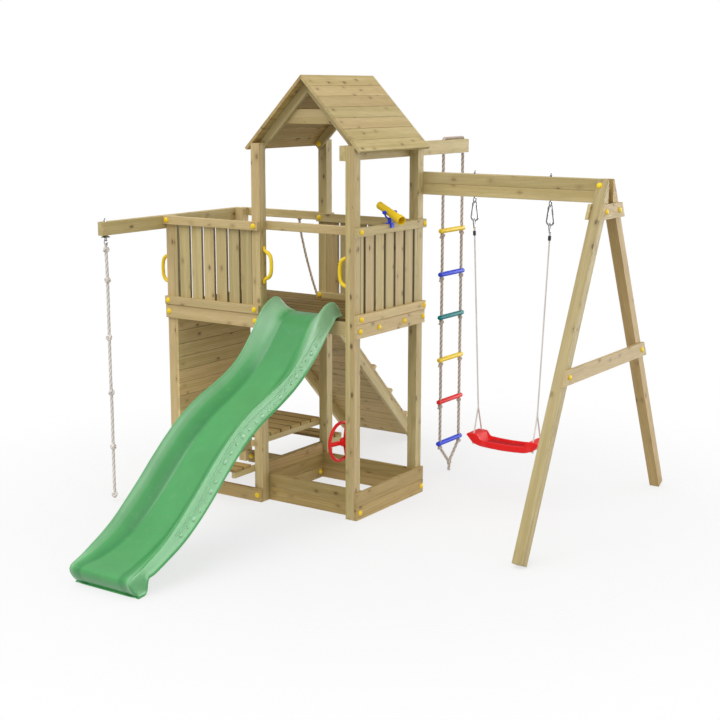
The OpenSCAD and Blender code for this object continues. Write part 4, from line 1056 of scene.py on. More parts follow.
@dataclass
class FreeRopes:
    """The knotted climbing rope and the rope over the ramp.

    Attributes:
        climb: Route of the climbing rope in millimetres.
        climb_knots: Heights of its knots.
        climb_d: Its diameter.
        climb_knot: Width of a knot on it and thickness of the rope in it.
        loop: Middle of the loop at its top.
        loop_r: Radius of the loop.
        ramp: Route of the rope over the ramp in millimetres.
        ramp_d: Its diameter.
        ramp_knot: Width of a knot on it and thickness of the rope in it.
    """

    climb: Sequence[Triple] = (
        (-1578, -605, 1760), (-1578, -605, 1710), (-1577, -604, 1650), (-1577, -603, 1600),
        (-1576, -603, 1540), (-1575, -604, 1480), (-1574, -605, 1400), (-1574, -606, 1300),
        (-1574, -606, 1220), (-1575, -606, 1150), (-1576, -605, 1080), (-1577, -604, 980),
        (-1577, -604, 870), (-1576, -603, 770), (-1575, -603, 680), (-1574, -604, 580),
        (-1574, -605, 480), (-1574, -605, 390), (-1575, -605, 300), (-1576, -604, 200),
        (-1576, -604, 110), (-1575, -604, 28))
    climb_knots: Sequence[float] = (1744, 1540, 1150, 770, 390, 52)
    climb_d: float = 22.0
    climb_knot: Pair = (48.0, 22.0)
    loop: Triple = (-1577.5, -605.0, 1775.1)
    loop_r: float = 10.0
    ramp: Sequence[Triple] = (
        (-1050, 844, 1896), (-1050, 845, 1872), (-1049, 847, 1840), (-1046, 851, 1795),
        (-1042, 858, 1745), (-1038, 872, 1690), (-1036, 890, 1630), (-1034, 914, 1560),
        (-1033, 942, 1490), (-1033, 976, 1410), (-1034, 1014, 1335), (-1036, 1056, 1254),
        (-1038, 1100, 1170), (-1041, 1140, 1100), (-1044, 1180, 1036), (-1047, 1222, 978),
        (-1050, 1262, 928), (-1052, 1298, 884), (-1054, 1330, 844), (-1055, 1362, 806),
        (-1056, 1392, 771), (-1056, 1415, 744))
    ramp_d: float = 18.0
    ramp_knot: Pair = (40.0, 16.0)

    def build(self) -> None:
        """Lays both ropes with their knots."""
        self._climbing_rope()
        self._ramp_rope()

    def _climbing_rope(self) -> None:
        """Hangs the climbing rope from its loop and ties its knots."""
        line = smooth([Vector(p) * MM for p in self.climb], 4)
        rope = LaidRope("climbing_rope_laid", line, self.climb_d * MM, lay=0.062, depth=0.16).build()
        settle(rope, Body.ROPE, Slot.ROPE, PALE, "climbing_rope")
        knots = []
        for number, high in enumerate(self.climb_knots):
            middle = min(line, key=lambda p: abs(p.z - high * MM))
            at = Vector((middle.x, middle.y, high * MM))
            knots.append(Knot(at, self.climb_knot, 40.0 * number).build(f"climbing_knot_{number + 1}"))
        knots = [settle(k, Body.ROPE, Slot.ROPE, PALE) for k in knots]
        x, y, z = self.loop
        circle = [Vector((x, y + self.loop_r * math.cos(a), z + self.loop_r * math.sin(a))) * MM
                  for a in fan(2 * math.pi, 40)]
        loop = LaidRope("climbing_loop", circle, 0.009, lay=0.02, sides=12, step=0.0015, ring=True).build()
        settle(loop, Body.ROPE, Slot.ROPE, PALE, "rope_loop")
        tuple(line[0])
        length_of(line)
        [tuple(p) for p in line]

    def _ramp_rope(self) -> None:
        """Lays the rope from its hook down the ramp."""
        line = smooth([Vector(p) * MM for p in self.ramp], 3)
        rope = LaidRope("ramp_rope_laid", line, self.ramp_d * MM, lay=0.058).build()
        settle(rope, Body.FRAME, Slot.ROPE, FIBRE, "ramp_rope")
        low = line[-4] + Vector((0, 0.003, 0.006))
        knots = [Knot(line[3], self.ramp_knot, 20.0).build("ramp_knot_upper"),
                 Knot(low, self.ramp_knot, 70.0).build("ramp_knot_lower")]
        knots = [settle(k, Body.FRAME, Slot.ROPE, FIBRE) for k in knots]
        tuple(line[0])
        length_of(line)
        [tuple(p) for p in line]


@dataclass
class Timber:
    """The pine of the frame: each node's grain, board repeat and tint.

    Attributes:
        slope: Slope of the roof.
        ridge: A point on the ridge.
        roof: Width over both slopes.
        boards: Number of boards on a slope.
        ramp: Run and rise of the ramp.
        edge: A point on the ramp's upper edge.
        planks: Number of planks on the ramp.
        leg: Run and rise of a swing leg.
        posts: Names of the posts.
        painted_shade_tint: Tint painted as shade on the timbers that stand in the shade.
    """

    slope: float = math.radians(45.6)
    ridge: Triple = (-0.38, 0.0, 2.8868)
    roof: float = 0.926
    boards: int = 7
    ramp: Pair = (1.353, 1.33)
    edge: Triple = (0.0, 0.797, 1.33)
    planks: int = 19
    leg: Pair = (0.99, 2.107)
    posts: Sequence[str] = ("front_right", "rear_right", "front_middle", "rear_middle", "front_left",
                            "rear_left")
    painted_shade_tint: Triple = (0.96, 0.86, 0.72)

    def finishes(self) -> dict[str, Pine]:
        """Lists the pine of the timber nodes.

        Returns:
            The finish of each node.
        """
        x, y, z = (1.0, 0.0, 0.0), (0.0, 1.0, 0.0), (0.0, 0.0, 1.0)
        down = (math.cos(self.slope), 0.0, -math.sin(self.slope))
        other = (-down[0], 0.0, down[2])
        row = self.roof / 2 / math.cos(self.slope) / self.boards
        length = math.hypot(*self.ramp)
        ramp = (0.0, self.ramp[0] / length, -self.ramp[1] / length)
        pitch = length / self.planks
        start = tuple(Vector(self.edge) - Vector(ramp) * pitch / 4)
        lean = math.atan2(*self.leg)
        rear_leg = (0.0, -math.sin(lean), math.cos(lean))
        front_leg = (0.0, math.sin(lean), math.cos(lean))
        woods = {f"post_{place}": Pine(f"pine_{letter}", z, x)
                 for letter, place in zip("abcdef", self.posts)}
        # Timbers that stand in the shade take a tint as painted shade.
        woods |= {
            "roof_boards_left": Pine("pine_roof_left", y, other, self.ridge, row, tone=0.9, side=0.85,
                                     tint=self.painted_shade_tint),
            "roof_boards_right": Pine("pine_roof_right", y, down, self.ridge, row, tone=0.95, side=0.85,
                                      sheen=0.2),
            "rafters": Pine("pine_rafters", down, y, (0, -0.2, 0), 0.5, fold=self.ridge[0]),
            "collar_ties": Pine("pine_collar", x, z, layer=0.3),
            "platform_beams": Pine("pine_beams", layer=0.4, turned=True),
            "floor_joists": Pine("pine_joists", y, z, layer=0.3),
            # The floor planks' low tone is painted shade under the roof.
            "floor_planks": Pine("pine_floor", x, y, (0, 0.033, 0), 0.09486, tone=0.42, side=0.5,
                                 sheen=0.02, tint=self.painted_shade_tint),
            "rails_front": Pine("pine_rails_front", x, z, pitch=0.5, tone=1.02),
            "rails_right": Pine("pine_rails_right", y, z, pitch=0.5, tone=1.04),
            "rails_rear": Pine("pine_rails_rear", x, z, pitch=0.5),
            "slats_front": Pine("pine_slats_front", z, x, (-1.5527, 0, 0), 0.1095, side=0.42),
            "slats_right": Pine("pine_slats_right", z, y, (0, -0.0355, 0), 0.119, tone=0.97, side=0.4),
            "slats_rear": Pine("pine_slats_rear", z, x, (-0.734, 0, 0), 0.118, tone=0.94, side=0.45),
            "cross_rails": Pine("pine_cross", x, z, layer=0.4),
            # The wall planks' high tone is painted light on the wall under the platform.
            "wall_planks": Pine("pine_wall", y, z, (0, 0, 0.0878), 0.094, tone=1.2, side=0.8, sheen=0.2),
            "ground_boards": Pine("pine_ground", x, z, layer=0.3, tone=0.88, tint=self.painted_shade_tint),
            "sandbox_boards": Pine("pine_sandbox", pitch=0.0938, layer=0.4, tone=0.88, sheen=0.3,
                                   tint=self.painted_shade_tint, turned=True),
            "table_slats": Pine("pine_table", x, y, (0, 0.027, 0), 0.118, tone=0.92, side=0.5, sheen=0.1,
                                tint=self.painted_shade_tint),
            "bench_slats": Pine("pine_bench", x, y, (0, -0.258, 0), 0.0969, tone=0.92, side=0.55,
                                sheen=0.1, tint=self.painted_shade_tint),
            "seat_bearers": Pine("pine_bearers", y, z, (0, 0, 0.1), 0.2, 0.4),
            "ramp_stringers": Pine("pine_stringers", ramp, x, (-1.2, 0, 0), 0.5),
            "ramp_planks": Pine("pine_ramp", x, ramp, start, pitch, tone=0.85, side=0.8, tint=self.painted_shade_tint),
            "ramp_cleats": Pine("pine_cleats", x, ramp, self.edge, 0.31),
            "ladder_beam": Pine("pine_ladder_beam", y, z),
            "rope_beam": Pine("pine_rope_beam", y, z),
            "swing_beam": Pine("pine_swing_beam", x, z, (0, 0, 2.0948), 0.075),
            "swing_leg_front": Pine("pine_leg_front", front_leg, x, tone=0.95),
            "swing_leg_rear": Pine("pine_leg_rear", rear_leg, x, tone=0.9, tint=self.painted_shade_tint),
            "leg_ties": Pine("pine_ties", y, z, (0, 0, 0.9), 0.4, 0.05),
        }
        numbered = enumerate(woods.items(), 1)
        return {node: replace(wood, seed=number) for number, (node, wood) in numbered}

    def build(self) -> None:
        """Gives each timber node its pine."""
        for name, finish in self.finishes().items():
            dress(name, finish)


@dataclass
class Slide:
    """The moulded wavy slide, in millimetres.

    Attributes:
        middle: X of its middle.
        back: Y of its upper end.
        run: Length on plan.
        top: Height of the bed at the platform.
        foot: Height of the bed at the foot.
        width: Width over the skirt.
        bed: Width of the bed.
        wall: Height of the walls.
        skin: Thickness of the shell.
        crest: Width of the crest.
        skirt: Scale of the skirt's reach.
        bead: Width and height of the bead.
        rows: Number of cross sections.
        ears: Sections between which the painted shade and sheen of the upper ears blend into those of the
            rest of the slide.
        trim: First and last section with ornament.
        studs: Radii of the studs, in turn.
        rib: Thickness of the rib.
    """

    middle: float = -400.0
    back: float = 85.0
    run: float = 2030.0
    top: float = 1336.6
    foot: float = 100.0
    width: float = 506.0
    bed: float = 224.0
    wall: float = 112.0
    skin: float = 6.0
    crest: float = 30.0
    skirt: float = 112.0
    bead: Pair = (10.0, 6.0)
    rows: int = 190
    ears: tuple[int, int] = (18, 44)
    trim: tuple[int, int] = (16, 148)
    studs: Triple = (18.0, 10.0, 14.0)
    rib: float = 14.0

    def stations(self) -> list[list[float]]:
        """Lists the slide's form from the platform to the lip.

        Returns:
            Shares of run, drop, wall and crest, and the skirt's reach back and down, at each station.
        """
        return [
            [0, 1, 0.5, 1, 0, 0.02], [0.022, 1, 0.84, 1, 0, 0.02], [0.04, 0.999, 0.93, 1, 0, 0.06],
            [0.06, 0.99, 0.92, 1, 0.1, 0.28], [0.09, 0.958, 0.86, 1, 0.24, 0.27],
            [0.134, 0.876, 0.8, 1, 0.24, 0.24], [0.195, 0.774, 0.76, 1, 0.17, 0.19],
            [0.259, 0.696, 0.78, 1, 0.11, 0.17], [0.338, 0.628, 0.88, 1, 0.07, 0.15],
            [0.418, 0.57, 0.96, 1, 0.07, 0.13], [0.483, 0.51, 1.01, 1, 0.07, 0.12],
            [0.547, 0.435, 1.04, 1, 0.09, 0.11], [0.612, 0.345, 1.05, 1, 0.1, 0.11],
            [0.677, 0.251, 1.03, 1, 0.1, 0.12], [0.736, 0.176, 0.97, 1, 0.1, 0.13],
            [0.796, 0.113, 0.83, 1, 0.09, 0.14], [0.856, 0.07, 0.64, 0.97, 0.1, 0.18],
            [0.915, 0.042, 0.41, 0.82, 0.15, 0.33], [0.95, 0.031, 0.22, 0.64, 0.34, 0.34],
            [0.975, 0.026, 0.09, 0.5, 0.7, 0.63], [0.99, 0.021, 0.04, 0.42, 0.95, 0.89],
            [0.998, 0.012, 0.03, 0.38, 1.01, 0.94], [1, 0.0, 0.03, 0.36, 0.94, 0.82],
            [0.998, -0.015, 0.03, 0.36, 0.81, 0.66], [0.992, -0.033, 0.03, 0.36, 0.63, 0.46],
            [0.984, -0.05, 0.03, 0.36, 0.42, 0.27], [0.974, -0.066, 0.03, 0.36, 0.17, 0.1],
            [0.968, -0.0735, 0.03, 0.36, 0.03, 0.03], [0.968, -0.0748, 0.02, 0.36, 0.02, 0.02],
            [0.974, -0.0748, 0.02, 0.36, 0.02, 0.02]]

    def _outline(self, row: Sequence[float], way: Vector, at: Vector) -> list[Vector]:
        """Right half of the skin across the slide at one station.

        Args:
            row: Shares at the station.
            way: Heading of the bed.
            at: Middle of the bed.

        Returns:
            Points from the middle of the bed over the crest to the bead.
        """
        up = Vector((0, way.z, -way.y))
        inset = self.crest * row[3]
        hip = self.width / 2 - (1 - row[3]) * self.crest * 0.75
        crest = hip - inset
        bed = self.bed / 2 + (1 - row[3]) * 2 * self.crest
        high = row[2] * self.wall
        shape = [(0.0, 0.0), (bed / 2, 0.0), (bed - 8, 0.0)]
        shape += [(bed + a * (crest - bed), b * high)
                  for a, b in ((0, 0.01), (0.1, 0.07), (0.46, 0.28), (0.77, 0.53), (0.93, 0.8), (1, 1))]
        shape += [(crest + a * inset, b * high) for a, b in ((0.3, 0.96), (0.5, 0.84))]
        points = [at + Vector((x, 0, 0)) + up * h for x, h in shape]
        drop = Vector((0, row[4] * self.skirt, -row[5] * self.skirt))
        rise = -drop.normalized() * self.bead[1]
        points.append(at + drop + rise + Vector((hip, 0, 0)))
        points.append(at + drop + rise * 0.5 + Vector((hip + self.bead[0], 0, 0)))
        return points

    def _sections(self) -> list[list[Vector]]:
        """Spaces the cross sections evenly along the slide.

        Returns:
            Points across the slide in each section, in metres.
        """
        table = smooth([Vector(row) for row in self.stations()], 12)
        fall = self.top - self.foot
        spine = [Vector((self.middle, self.back - r[0] * self.run, self.foot + r[1] * fall)) for r in table]
        walked = [0.0]
        for p, q in zip(spine, spine[1:]):
            walked.append(walked[-1] + (q - p).length)
        sections = []
        index = 0
        for number in range(self.rows):
            goal = walked[-1] * number / (self.rows - 1)
            while index < len(spine) - 2 and walked[index + 1] < goal:
                index += 1
            share = (goal - walked[index]) / (walked[index + 1] - walked[index])
            row = table[index].lerp(table[index + 1], share)
            at = spine[index].lerp(spine[index + 1], share)
            way = (spine[min(index + 3, len(spine) - 1)] - spine[max(index - 2, 0)]).normalized()
            right = self._outline(row, way, at)
            left = [Vector((2 * self.middle - p.x, p.y, p.z)) for p in reversed(right[1:])]
            sections.append([p * MM for p in left + right])
        return sections

    def _shade(self, obj: Piece, columns: int) -> None:
        """Marks where shade is painted into the creases of the skin, and below zero where a sheen is painted
        on its rims and upper ears.

        Args:
            obj: The slide.
            columns: Points across it.
        """
        hollow = obj.data.attributes.new("hollow", "FLOAT", "POINT")
        start, end = self.ears
        outer = columns // 2 - 8
        # Shares of painted shade (above zero) and painted sheen (below zero) across one half of the skin,
        # from the middle of the bed out: along the slide, and on the upper ears.
        half = [0, 0, 0, 0.55, 1, 0.5, -0.3, -0.62, -0.3] + [0] * outer
        ears = [0.5, 0.5, 0.55, 0.5, -0.1, -0.8, -1, -1, -0.6] + [-0.85] * outer
        for index, value in enumerate(hollow.data):
            column = abs(index % columns - columns // 2)
            top = min(1.0, max(0.0, (end - index // columns) / (end - start)))
            value.value = half[column] * (1 - top) + ears[column] * top

    def build(self) -> None:
        """Shapes the slide and puts it in place of the node."""
        sections = self._sections()
        columns = len(sections[0])
        obj = Workshop.sheet("slide_shell", self.rows, columns,
                             lambda u, row: sections[row][round(u * (columns - 1))])
        self._shade(obj, columns)
        Workshop.pick(obj)
        bpy.ops.object.mode_set(mode="EDIT")
        bpy.ops.mesh.select_all(action="SELECT")
        if sum(face.normal.z * face.area for face in obj.data.polygons) < 0:
            bpy.ops.mesh.flip_normals()
        bpy.ops.object.mode_set(mode="OBJECT")
        Workshop.apply(obj, "SUBSURF", levels=1, render_levels=1)
        Workshop.apply(obj, "SOLIDIFY", thickness=self.skin * MM, offset=-1.0)
        Workshop.bevel(obj, 0.0016, 2, 60)
        Workshop.soften(obj, 50)
        settle(obj, Body.FRAME, Slot.GREEN, GREEN, "slide")
        self._ornament(sections)

    def _ornament(self, sections: Sequence[Sequence[Vector]]) -> None:
        """Raises a row of studs and one wavy rib on each outer wall.

        Args:
            sections: Points across the slide at each station.
        """
        pieces = []
        for hand, high, low in ((1, -3, -2), (-1, 2, 1)):
            ridge = []
            for index in range(*self.trim):
                here, ahead = sections[index], sections[index + 1]
                out = (here[low] - here[high]).cross(ahead[high] - here[high]).normalized()
                out = out if out.x * hand > 0 else -out
                wave = 0.3 + 0.1 * math.sin(index / 9)
                ridge.append(here[high].lerp(here[low], wave) - out * 0.004)
                if index % 5 == 0:
                    size = self.studs[index // 5 % 3] * MM
                    profile = [(-0.003, size), (-0.0004, size), (0.0014, size * 0.88), (0.0028, size * 0.66),
                               (0.0038, size * 0.36), (0.0042, 0.0002)]
                    at = here[high].lerp(here[low], wave + 0.3)
                    stud = Workshop.turned(f"stud_{hand}_{index}", profile, tuple(at), tuple(out), 18)
                    pieces.append(stud)
            pieces.append(tube(f"rib_{hand}", ridge, self.rib * MM))
        # The studs and rib take the paler green as a painted highlight.
        settle(Workshop.merge("slide_ornament", pieces), Body.FRAME, Slot.GREEN, PAINTED_HIGHLIGHT_GREEN)


@dataclass
class Swing:
    """Ropes, seat and fittings of the swing, in millimetres.

    Attributes:
        middle: X and Y of the swing.
        eyes: Distance between the hooks.
        at_seat: Distance between the ropes at the seat.
        loop: Height of the loops.
        eye: Radius of the loops.
        pinch: Half distance between two strands where they meet.
        top: Height where the ropes start under the loops.
        split: Height where each rope parts into two strands.
        bow: Height where the strands end.
        spread: Half distance between the strands at the seat.
        rope: Diameter of the ropes.
        lay: Length of one full twist of the ropes.
        knot: Width of a knot and thickness of the rope in it.
        sheath: Share of the loop's legs that its metal eye covers, and the eye's thickness on the rope.
        depth: Depth of the seat.
        tray: Width of the grooved tray and height of its ridges.
        under: Height of the knots under the seat.
        pivot: Height where the hooks hang in their eyes.
        hook: Length, upper radius and lower radius of a hook.
        wire: Thickness of a hook.
    """

    middle: Pair = (696.0, 832.0)
    eyes: float = 558.0
    at_seat: float = 450.0
    loop: float = 1930.6
    eye: float = 13.0
    pinch: float = 2.0
    top: float = 1872.6
    split: float = 665.0
    bow: float = 472.0
    spread: float = 58.0
    rope: float = 10.5
    lay: float = 30.0
    knot: Pair = (24.0, 9.5)
    sheath: Pair = (0.72, 1.6)
    depth: float = 155.0
    tray: Pair = (118.0, 0.9)
    under: float = 423.0
    pivot: float = 2064.3
    hook: Triple = (138.0, 12.0, 25.0)
    wire: float = 8.0

    def build(self) -> None:
        """Makes the ropes and the seat and dresses the metal."""
        ropes = [piece for hand in (-1, 1) for piece in self._rope(hand)]
        settle(Workshop.merge("swing_ropes_laid", ropes), Body.SWING, Slot.ROPE, PALE, "swing_ropes")
        self._hooks()
        self._seat()

    def _bend(self, x: float, y: float) -> list[Vector]:
        """Returns the upper bend of a rope's loop."""
        return [Vector((x, y + self.eye * math.cos(a), self.loop + self.eye * math.sin(a)))
                for a in fan(math.pi, 12)]

    def _hooks(self) -> None:
        """Bends the pear-shaped snap hooks with their gate sleeves, and the metal eyes in the rope loops."""
        hooks, eyes = [], []
        for hand in (-1, 1):
            x, y = self.middle[0] + hand * self.eyes / 2, self.middle[1]
            arcs = ((self.hook[1], self.pivot - self.hook[1], 0.0),
                    (self.hook[2], self.pivot - self.hook[0] + self.wire + self.hook[2], math.pi))
            ring = [Vector((x + r * math.cos(start + a), y, z + r * math.sin(start + a)))
                    for r, z, start in arcs for a in fan(math.pi, 14)]
            ring.append(ring[0].copy())
            hooks.append(tube(f"hook_{hand}", [p * MM for p in ring], self.wire * MM, ring=True))
            (left, low_left), (low_right, right) = ring[14:16], ring[29:31]
            bars = (("bow", 1.5, [left.lerp(low_left, 0.12), *ring[15:30], low_right.lerp(right, 0.88)]),
                    ("gate", 1.8, [right.lerp(low_right, share) for share in (0.18, 0.52)]),
                    ("nose", 1.9, [left.lerp(low_left, share) for share in (0.02, 0.16)]))
            for part, thick, line in bars:
                hooks.append(tube(f"{part}_{hand}", [p * MM for p in line], thick * self.wire * MM))
            bend = self._bend(x, y)
            legs = [bend[end].lerp(Vector((x, y + side * self.pinch, self.top)), self.sheath[0])
                    for end, side in ((0, 1), (-1, -1))]
            eye = [p * MM for p in [legs[0], *bend, legs[1]]]
            eyes.append(tube(f"rope_eye_{hand}", eye, (self.rope + self.sheath[1]) * MM))
        settle(Workshop.merge("snap_hooks_bent", hooks), Body.SWING, Slot.STEEL, ZINC, "swing_snap_hooks")
        settle(Workshop.merge("rope_eyes", eyes), Body.SWING, Slot.STEEL, ZINC)

    def _rope(self, hand: int) -> list[Piece]:
        """One rope with its loop and its two strands.

        Args:
            hand: -1 for the left rope and 1 for the right one.

        Returns:
            The pieces of the rope.
        """
        x, y = self.middle[0] + hand * self.eyes / 2, self.middle[1]
        low = self.middle[0] + hand * self.at_seat / 2
        routes = [[(x, y + self.pinch, self.top), *self._bend(x, y), (x, y - self.pinch, self.top)],
                  [(x, y, self.top + 8), (low, y, self.split - 4)]]
        for side in (-1, 1):
            routes.append([(low, y + side * self.pinch, self.split + 14), (low, y, self.split),
                           (low, y + side * self.spread, self.bow)])
        made = []
        for number, route in enumerate(routes):
            line = [Vector(p) * MM for p in route]
            made.append(LaidRope(f"swing_rope_{hand}_{number}", line, self.rope * MM, self.lay * MM,
                                 depth=0.18, sides=12, step=0.0035).build())
        for side in (-1, 1):
            at = Vector((low, y + side * self.spread, self.under)) * MM
            made.append(Knot(at, self.knot, 50.0 * side).build(f"seat_knot_{hand}_{side}"))
        return made

    def _ring(self, x: float, top: float, base: float, tray: float) -> list[Vector]:
        """Runs a line round the seat at one place along it.

        Args:
            x: Place along the seat, from its middle.
            top: Height of the rims.
            base: Height of the underside.
            tray: Height of the tray.

        Returns:
            Points round the seat, in metres.
        """
        w = self.depth / 2
        side = [(w * 0.55, base), (w - 5, base), (w, min(base + 6, (base + top) / 2)), (w, top - 1),
                (w - 1, top), (w - 12, top), (w - 14, tray), (w * 0.55, tray)]
        loop = [(0.0, base), *side, (0.0, tray), *((-y, z) for y, z in reversed(side)), (0.0, base)]
        return [Vector((self.middle[0] + x, self.middle[1] + y, z)) * MM for y, z in loop]

    def _seat(self) -> None:
        """Moulds the seat with a tray, rounded rims and raised end blocks."""
        half = [(0, 446, 402, 429), (90, 448, 405, 431), (152, 452, 408.5, 433), (160, 454, 409.5, 436),
                (170, 460, 411, 445), (187, 484, 415, 481), (197, 490, 418, 489.5), (226, 491, 429, 491),
                (262, 490.5, 466, 490.5), (271, 482, 475, 482)]
        marks = [(-x, *heights) for x, *heights in reversed(half[1:])] + half
        rings = [self._ring(*mark) for mark in marks]
        rows, columns = len(rings), len(rings[0])
        obj = Workshop.sheet("swing_seat_moulded", rows, columns,
                             lambda u, row: rings[row][round(u * (columns - 1))])
        Workshop.close(obj)
        Workshop.bevel(obj, 0.0045, 3, 24)
        Workshop.soften(obj, 38)
        settle(obj, Body.SWING, Slot.RED, RED, "swing_seat")
        curve = ((-148, 433.4), (-90, 431.6), (0, 429.6), (90, 431.6), (148, 433.4))
        line = smooth([Vector((self.middle[0] + x, self.middle[1], z)) * MM for x, z in curve], 6)
        wide, ridge = self.tray[0] * MM, self.tray[1] * MM

        def groove(u: float, row: int) -> Vector:
            """Point of the grooved tray at a share across and in a row."""
            return line[row] + Vector((0, (u - 0.5) * wide, ridge * math.cos(20 * math.pi * u)))

        mat = Workshop.sheet("swing_seat_tray", len(line), 41, groove)
        Workshop.apply(mat, "SOLIDIFY", thickness=0.002, offset=0.0)
        Workshop.soften(mat, 60)
        # The tray sheet takes the deeper red as painted shade in the recess.
        settle(mat, Body.SWING, Slot.RED, PAINTED_SHADE_RED)


@dataclass
class RopeLadder:
    """Ropes, knots and rungs of the ladder, in millimetres.

    Attributes:
        x: X of the ladder.
        ys: Y of the two ropes.
        rope: Diameter of the ropes.
        lay: Length of one full twist of the ropes.
        knot: Width of a knot and thickness of the rope in it.
        high: Height of the top of the ropes.
        heights: Heights of the rungs, from the top.
        rung: Length and diameter of a rung.
        drop: Distances under a rung of its knots, and of the place where the ropes draw together.
        stub: Points of a rope end beside a knot, from the knot.
        tip: Height of the knot under the lowest rung.
        tail: Height of the lower end.
        beam: Heights of the underside and the top of the beam.
    """

    x: float = -57.5
    ys: Pair = (1215.0, 1485.0)
    rope: float = 22.0
    lay: float = 56.0
    knot: Pair = (40.0, 17.0)
    high: float = 2346.0
    heights: Sequence[float] = (1805.0, 1493.0, 1181.0, 869.0, 557.0, 245.0)
    rung: Pair = (350.0, 34.0)
    drop: Pair = (15.0, 18.0)
    stub: Sequence[Triple] = ((0.0, 0.0, 0.0), (-4.0, 12.0, -6.0), (-6.0, 21.0, -18.0))
    tip: float = 75.0
    tail: float = 12.5
    beam: Pair = (2350.0, 2445.0)

    def build(self) -> None:
        """Makes the ropes, the rungs and the rope over the beam."""
        self._ropes()
        self._rungs()
        self._bridge()

    def _ropes(self) -> None:
        """Hangs both ropes, ties a knot under each rung and one at the tip."""
        middle = sum(self.ys) / 2
        cut = self.heights[-1] - self.rung[1] / 2 - self.drop[1]
        thick, lay = self.rope * MM, self.lay * MM
        pieces = []
        for number, y in enumerate(self.ys):
            toward = math.copysign(1, middle - y)
            corner = Vector((self.x, y + toward * 4, cut))
            foot = Vector((self.x, middle - toward * 16, self.tip + 18))
            route = [Vector((self.x, y, cut + 40)), Vector((self.x, y, cut + 20))]
            route += [corner.lerp(foot, share) for share in (0.0, 0.15, 0.35, 0.6, 0.8, 1.0)]
            route.append(Vector((self.x + toward * 2, middle - toward * 3, self.tip)))
            line = [Vector((self.x, y, self.high)) * MM] + smooth([p * MM for p in route], 8)
            pieces.append(LaidRope(f"ladder_rope_{number}", line, thick, lay).build())
            for place, high in enumerate(self.heights):
                at = Vector((self.x, y, high - self.rung[1] / 2 - self.drop[0])) * MM
                knot = Knot(at, self.knot, 70.0 * place + 30 * number)
                pieces.append(knot.build(f"ladder_knot_{number}_{place}"))
                if place == len(self.heights) - 1:
                    continue
                stub = smooth([at + Vector((x, -toward * y, z)) * MM for x, y, z in self.stub], 5)
                end = LaidRope(f"ladder_stub_{number}_{place}", stub, 0.014, lay=0.03, sides=12)
                pieces.append(end.build())
        tip = Vector((self.x, middle, self.tip)) * MM
        pieces.append(Knot(tip, self.knot).build("ladder_tip"))
        tail = [tip, tip + Vector((0.001, 0.001, -0.02)), Vector((self.x, middle, self.tail)) * MM]
        pieces.append(LaidRope("ladder_tail", tail, thick, lay).build())
        settle(Workshop.merge("ladder_ropes_laid", pieces), Body.LADDER, Slot.ROPE, FIBRE, "ladder_ropes")

    def _rung(self, name: str, high: float) -> Piece:
        """One rung with rounded ends.

        Args:
            name: The piece's name.
            high: Height of its middle.

        Returns:
            The rung.
        """
        length, radius = self.rung[0] * MM, self.rung[1] / 2 * MM
        cap = [(radius * (1 - math.cos(a)), radius * math.sin(a)) for a in fan(math.pi / 2, 8)[1:]]
        ends = [(0.0, 0.0005)] + cap + [(0.02, radius), (0.022, radius * 0.985), (0.024, radius)]
        profile = ends + [(length - run, r) for run, r in reversed(ends)]
        start = (self.x * MM, sum(self.ys) / 2 * MM - length / 2, high * MM)
        return Workshop.turned(name, profile, start, (0, 1, 0), 36)

    def _rungs(self) -> None:
        """Turns the rungs, colour by colour."""
        for node, slot, finish, numbers in (
                ("rungs_yellow", Slot.YELLOW, YELLOW, (0, 3)), ("rungs_blue", Slot.BLUE, BLUE, (1, 5)),
                ("rung_teal", Slot.TEAL, TEAL, (2,)), ("rung_red", Slot.RED, RED, (4,))):
            made = [self._rung(f"{node}_{number}", self.heights[number]) for number in numbers]
            settle(Workshop.merge(f"{node}_turned", made), Body.LADDER, slot, finish, node)

    def _bridge(self) -> None:
        """Leads the rope up one hole, over the beam and down the other."""
        radius = self.rope / 2
        low, high = self.beam[0], self.beam[1] + radius + 0.5
        first, second = self.ys
        route = [(self.x, first, low)]
        for y, toward in ((first, 1), (second, -1)):
            bend = [(self.x, y + toward * radius * (1 - math.cos(a)), high - radius * (1 - math.sin(a)))
                    for a in fan(math.pi / 2, 5)]
            route += bend if toward > 0 else bend[::-1]
        route.append((self.x, second, low))
        line = [Vector(p) * MM for p in route]
        rope = LaidRope("ladder_rope_over_beam", line, self.rope * MM, self.lay * MM).build()
        settle(rope, Body.FRAME, Slot.ROPE, FIBRE, "ladder_rope_bridge")


